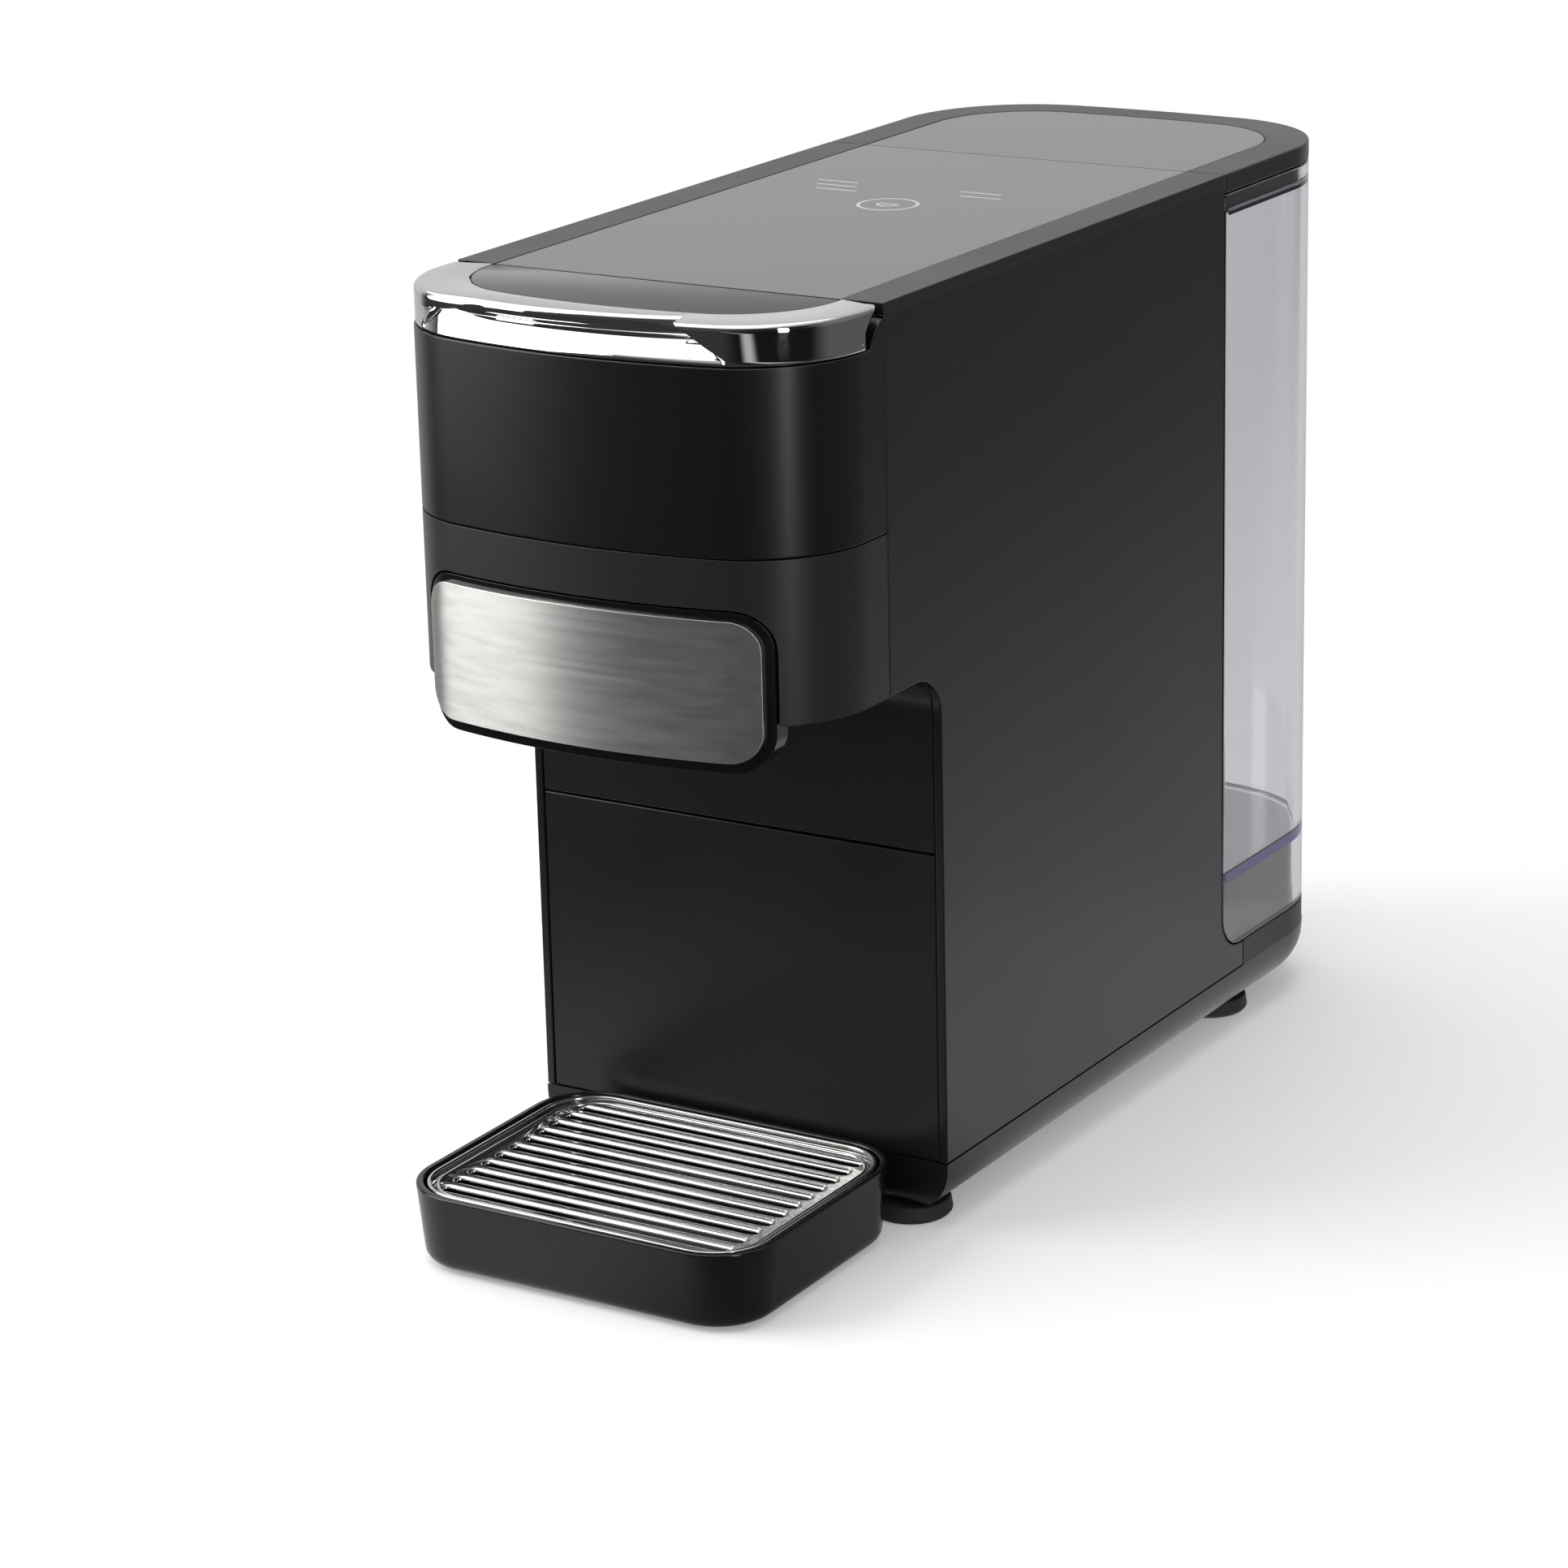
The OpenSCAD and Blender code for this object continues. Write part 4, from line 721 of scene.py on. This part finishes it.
# the lever with its finger groove; heights are in the shared frame and plans count from the head seam, in mm
lever = {
    "outer": {"halfWidth": 65.0, "reach": 45.5, "bow": 200.0, "corner": 33.4},
    "recess": {"halfWidth": 53.1, "reach": 32.6, "bow": 180.0, "corner": 27.8},
    "recessEdge": ((0.0, 259.7), (0.0, 261.2), (0.1, 261.4), (0.35, 261.5)),        # outward depth and height
    "top": 261.5, "pivot": (6.0, 246.0), "rearRadius": 16.92, "cheekRadius": 17.82, "cheekHalf": 61.35,
    "perStep": 41.0,                                        # length of the outline for one unit of t
    # the groove: its ends, what they fade over, how it deepens and the points of a section down to its back
    "leftEnd": -50.0, "rightEnd": 40.0, "ridgeWidth": 1.3, "leftFade": 24.0, "leftRoll": 16.0, "deepPower": 1.5,
    "grooveRows": 13,
    # its ends lean: height at the lip, depth and reach of the lean, offset at the lip and slopes
    "lipHeight": 257.6, "leanDepth": 5.0, "leanReach": 14.35, "leftLean": (2.3, 1.18), "rightLean": (1.8, 1.75, 1.46),
    "stopsPerUnit": 24, "stopsPerRidge": 6, "sharp": 40.0,
}

# cuts through the lever, from its top to its lower edge, as pairs of inward depth and height
gripSection = [
    (10.5, 261.5), (8.0, 261.46), (6.4, 261.34), (5.3, 261.12), (4.6, 260.86), (4.15, 260.55), (4.0, 260.15),
    (3.97, 259.6), (4.0, 259.05), (4.08, 258.6), (4.3, 258.25), (4.8, 257.95), (5.3, 257.6), (5.42, 257.2),
    (5.3, 256.85), (4.95, 256.6), (4.5, 256.4), (4.1, 256.15), (3.3, 255.2), (2.3, 254.0), (1.3, 252.8),
    (0.55, 251.95), (0.42, 251.5), (0.58, 251.2), (0.95, 251.1), (3.0, 251.1),
]
wideSection = [                                             # the groove's deep end on the right
    (11.6, 261.5), (10.6, 261.47), (9.8, 261.36), (9.2, 261.15), (8.85, 260.9), (8.7, 260.6), (8.65, 260.2),
    (8.65, 259.7), (8.65, 259.2), (8.65, 258.7), (8.65, 258.3), (8.65, 257.9), (8.6, 257.5), (8.5, 257.2),
    (8.2, 256.95), (7.4, 256.75), (6.0, 256.5), (4.3, 256.2), (3.3, 255.2), (2.3, 254.0), (1.3, 252.8),
    (0.55, 251.95), (0.42, 251.5), (0.58, 251.2), (0.95, 251.1), (3.0, 251.1),
]
closedSection = [                                           # where the groove runs out on the left
    (6.0, 261.5), (4.6, 261.45), (3.6, 261.3), (2.9, 261.0), (2.4, 260.6), (2.1, 260.15), (2.0, 259.7),
    (2.02, 259.3), (2.1, 258.95), (2.25, 258.7), (2.4, 258.55), (2.5, 258.45), (2.52, 258.38), (2.5, 258.3),
    (2.45, 258.15), (2.4, 258.0), (2.32, 257.8), (2.25, 257.5), (1.85, 256.0), (1.35, 254.3), (0.85, 252.8),
    (0.55, 251.95), (0.42, 251.5), (0.58, 251.2), (0.95, 251.1), (3.0, 251.1),
]
plainSection = [                                            # beside the groove
    (3.7, 261.5), (3.65, 261.5), (2.2, 261.5), (1.40, 261.5), (0.86, 261.39), (0.41, 261.09), (0.11, 260.64),
    (0.0, 260.1), *((0.0, 259.511 - 0.589 * step) for step in range(13)),
    (0.0, 251.85), (0.05, 251.5), (0.20, 251.22), (0.55, 251.1), (3.0, 251.1),
]
# the inner side of the skin, from its lower edge up
gripInside = [(3.2, 251.35), (3.4, 252.6), (6.4, 254.4), (7.4, 256.4), (7.4, 258.6)]
wideInside = [(3.2, 251.35), (3.4, 252.6), (7.4, 254.4), (10.4, 256.0), (10.4, 258.6)]
plainInside = [(3.2, 251.35), (3.2, 252.6), (3.2, 254.4), (3.2, 256.4), (3.2, 258.6)]


def leverRear(height, radius):
    # the rear edges are round about the hinge
    return lever["pivot"][0] - math.sqrt(radius ** 2 - (height - lever["pivot"][1]) ** 2)


def leverPlaced(rows):
    # from the head seam's count to the shared frame, by the front of the CAD lever
    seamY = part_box("lever_frame")[0].y / mm + lever["outer"]["reach"]
    return [[(x, y + seamY, z) for x, y, z in row] for row in rows]


def easeStep(value):
    value = min(1.0, max(0.0, value))
    return value * value * (3.0 - 2.0 * value)


def leverLean(t, height):
    # the groove's left end leans outward to the bottom, the right one outward to the bottom and inward to the top
    below = min(lever["leanDepth"], max(0.0, lever["lipHeight"] - height))
    above = max(0.0, height - lever["lipHeight"])
    offset, slope = lever["leftLean"]
    lean = (offset - below * slope) * math.exp(-((t * lever["perStep"] - lever["leftEnd"]) / lever["leanReach"]) ** 2)
    offset, slopeUp, slopeDown = lever["rightLean"]
    away = math.exp(-((t * lever["perStep"] - lever["rightEnd"]) / lever["leanReach"]) ** 2)
    return (lean + (below * slopeDown - above * slopeUp - offset) * away) / lever["perStep"]


def makeLever():
    leftT, rightT, ridge, fade, roll = (lever[key] / lever["perStep"] for key in
                                        ("leftEnd", "rightEnd", "ridgeWidth", "leftFade", "leftRoll"))
    stops = {-3.0, -2.7, -2.35, 2.35, 2.7, 3.0} | {round(t, 4) for t in outlineStops(lever["stopsPerUnit"], 2)}
    perRidge = lever["stopsPerRidge"]
    stops |= {round(end + ridge * k / perRidge, 4) for end in (leftT, rightT) for k in range(-perRidge, perRidge + 4)}
    stops = sorted(stops)
    rows = [[outlinePoint(lever["recess"], t, -depth, height, leverRear(height, lever["rearRadius"])) for t in stops]
            for depth, height in lever["recessEdge"]]
    sections = zip(gripSection + gripInside, closedSection + gripInside, wideSection + wideInside,
                   plainSection + plainInside)
    for index, (grip, closed, wide, plain) in enumerate(sections):
        start = roll if index < lever["grooveRows"] else ridge      # above the groove the left end fades in
        row = []
        for t in stops:
            opened = easeStep((t - leftT) / fade)
            cut = easeStep((rightT - t) / ridge + 0.5) * easeStep((t - leftT) / start + 0.5)
            deep = min(1.0, max(0.0, (t - leftT - fade) / (rightT - leftT - fade))) ** lever["deepPower"]
            carved = [low + (high - low) * opened + (far - high) * deep for low, high, far in zip(closed, grip, wide)]
            depth, height = (low + (high - low) * cut for low, high in zip(plain, carved))
            endY = leverRear(height, lever["cheekRadius"])
            row.append(outlinePoint(lever["outer"], t, depth, height, endY, leverLean(t, height)))
        rows.append(row)

    # the outer edge of the top face keeps inside the cheeks and ahead of them
    cornerY = planPoint(lever["outer"], 2.0)[1]
    rearY = leverRear(lever["top"], lever["rearRadius"])
    edge = len(lever["recessEdge"])
    rows[edge] = [(math.copysign(lever["cheekHalf"], t), cornerY + (abs(t) - 2.0) * (rearY - cornerY), lever["top"])
                  if abs(t) > 2.0 else point for t, point in zip(stops, rows[edge])]

    def endFaces(grid):
        # floor of the recess, underside of the skin and rear, then the ends at the right and left
        first, last = grid[0], grid[-1]
        flat = [first, last[::-1], (first[0], first[-1], last[-1], last[0])]
        return flat, [[row[-1] for row in grid], [row[0] for row in reversed(grid)]]

    return meshFromRows("lever_chrome", leverPlaced(rows), "chrome", lever["sharp"], endFaces)


inlay = {"gap": 0.42, "rearGap": 0.1, "edge": 0.3, "top": 261.4, "bottom": 259.75, "sharp": 35.0}      # mm, degrees


def makeInlay():
    gap, edge, top = inlay["gap"], inlay["edge"], inlay["top"]
    bulge = 0.3 * edge                                      # where the middle of the rounded edge lies
    radius = lever["rearRadius"] + inlay["rearGap"]
    shape = [(gap, inlay["bottom"]), (gap, top - edge), (gap + bulge, top - bulge), (gap + edge, top)]
    rows = [[outlinePoint(lever["recess"], t, inset, height, leverRear(height, radius)) for t in outlineStops(20)]
            for inset, height in shape]

    def endFaces(grid):
        rear = [row[0] for row in grid] + [row[-1] for row in reversed(grid)]
        return [grid[0], grid[-1][::-1], rear], []

    return meshFromRows("lever_inlay_gloss", leverPlaced(rows), "glossInlay", inlay["sharp"], endFaces)


leverChrome = makeLever()
rideFor(leverChrome, "lever_frame")
rideFor(makeInlay(), "lever_inlay")
print("chrome lever built:", len(leverChrome.data.polygons), "faces")

# coloured edges of the clear tank: heights above its foot in mm, and finish; the pale mouth line is a painted
# highlight and the dark mouth band is painted shade
tankEdges = {
    "tank_floor_edge": (20.9, 23.7, "violetEdge"), "tank_mouth_shade": (221.1, 222.1, "shadeEdge"),
    "tank_mouth_painted_highlight": (222.3, 223.1, "paintedHighlightEdge"),
}
tankPlan = {"halfWidth": 65.0, "bow": 400.0, "corner": 40.0, "front": 87.6, "edgeInset": (0.9, 1.4)}    # mm


def makeTankEdge(name, low, high, finish):
    outer, inner = tankPlan["edgeInset"]
    foot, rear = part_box("water_tank")
    plan = dict(tankPlan, reach=rear.y / mm)
    rows = []
    for inset, height in ((outer, low), (outer, high), (inner, high), (inner, low)):
        row = [outlinePoint(plan, t, inset, foot.z / mm + height, -plan["front"]) for t in outlineStops(16)]
        rows.append([(x, -y, z) for x, y, z in row])        # the tank bows to the rear

    def endFaces(grid):
        return [[row[end] for row in grid] for end in (0, -1)], []

    return meshFromRows(name, rows, finish, 0.0, endFaces, ring=True)


for name, values in tankEdges.items():
    rideFor(makeTankEdge(name, *values), "water_tank", replace=False)
print("tank edges drawn:", len(tankEdges))

# printed marks on the touch glass: a ring with a cup, and two stacks of bars; mm, and numbers of bars
marks = {
    "Line": 0.9, "Thickness": 0.06, "Level": 261.39, "Ring": 8.3, "Ring Y": 6.9, "Bowl": 3.2, "Bowl Y": 7.6,
    "Bar": 13.0, "Pitch": 5.6, "Stagger": -3.0,
    "Left Bars": 3, "Left X": -31.0, "Left Y": 20.0, "Right Bars": 2, "Right X": 12.0, "Right Y": 26.0,
}


def makeMarks():
    values = inMetres(marks, "markPrint")
    tree, given = startTree("touchMarks", values)
    profile = addNode(tree, "CurvePrimitiveQuadrilateral", width=given["Line"], height=given["Thickness"])

    def stroke(curve, y=0.0):
        solid = addNode(tree, "CurveToMesh", curve, profileCurve=profile, fillCaps=True)
        return addNode(tree, "Transform", solid, translation=vector(tree, 0.0, y, given["Level"]))

    ring = addNode(tree, "CurvePrimitiveCircle", resolution=72, radius=given["Ring"])
    bowl = addNode(tree, "CurveArc", resolution=24, radius=given["Bowl"], startAngle=math.pi, sweepAngle=math.pi)
    rimStart = vector(tree, mathNode(tree, "MULTIPLY", given["Bowl"], -1.0))
    rim = addNode(tree, "CurvePrimitiveLine", start=rimStart, end=vector(tree, given["Bowl"]))
    bar = addNode(tree, "CurvePrimitiveLine", end=vector(tree, given["Bar"]))
    parts = [stroke(ring, given["Ring Y"]), stroke(bowl, given["Bowl Y"]), stroke(rim, given["Bowl Y"])]
    for side in ("Left", "Right"):
        start = vector(tree, given[side + " X"], given[side + " Y"])
        spots = addNode(tree, "MeshLine", count=given[side + " Bars"], startLocation=start,
                        offset=vector(tree, given["Stagger"], given["Pitch"]))
        parts.append(addNode(tree, "InstanceOnPoints", spots, instance=stroke(bar)))
    finishTree(tree, join(tree, *parts), given["Finish"])
    return meshFromTree("touch_marks", tree, values)


touchMarks = makeMarks()
rideFor(touchMarks, "touch_glass", replace=False)
print("touch marks laid:", len(touchMarks.data.polygons), "faces")
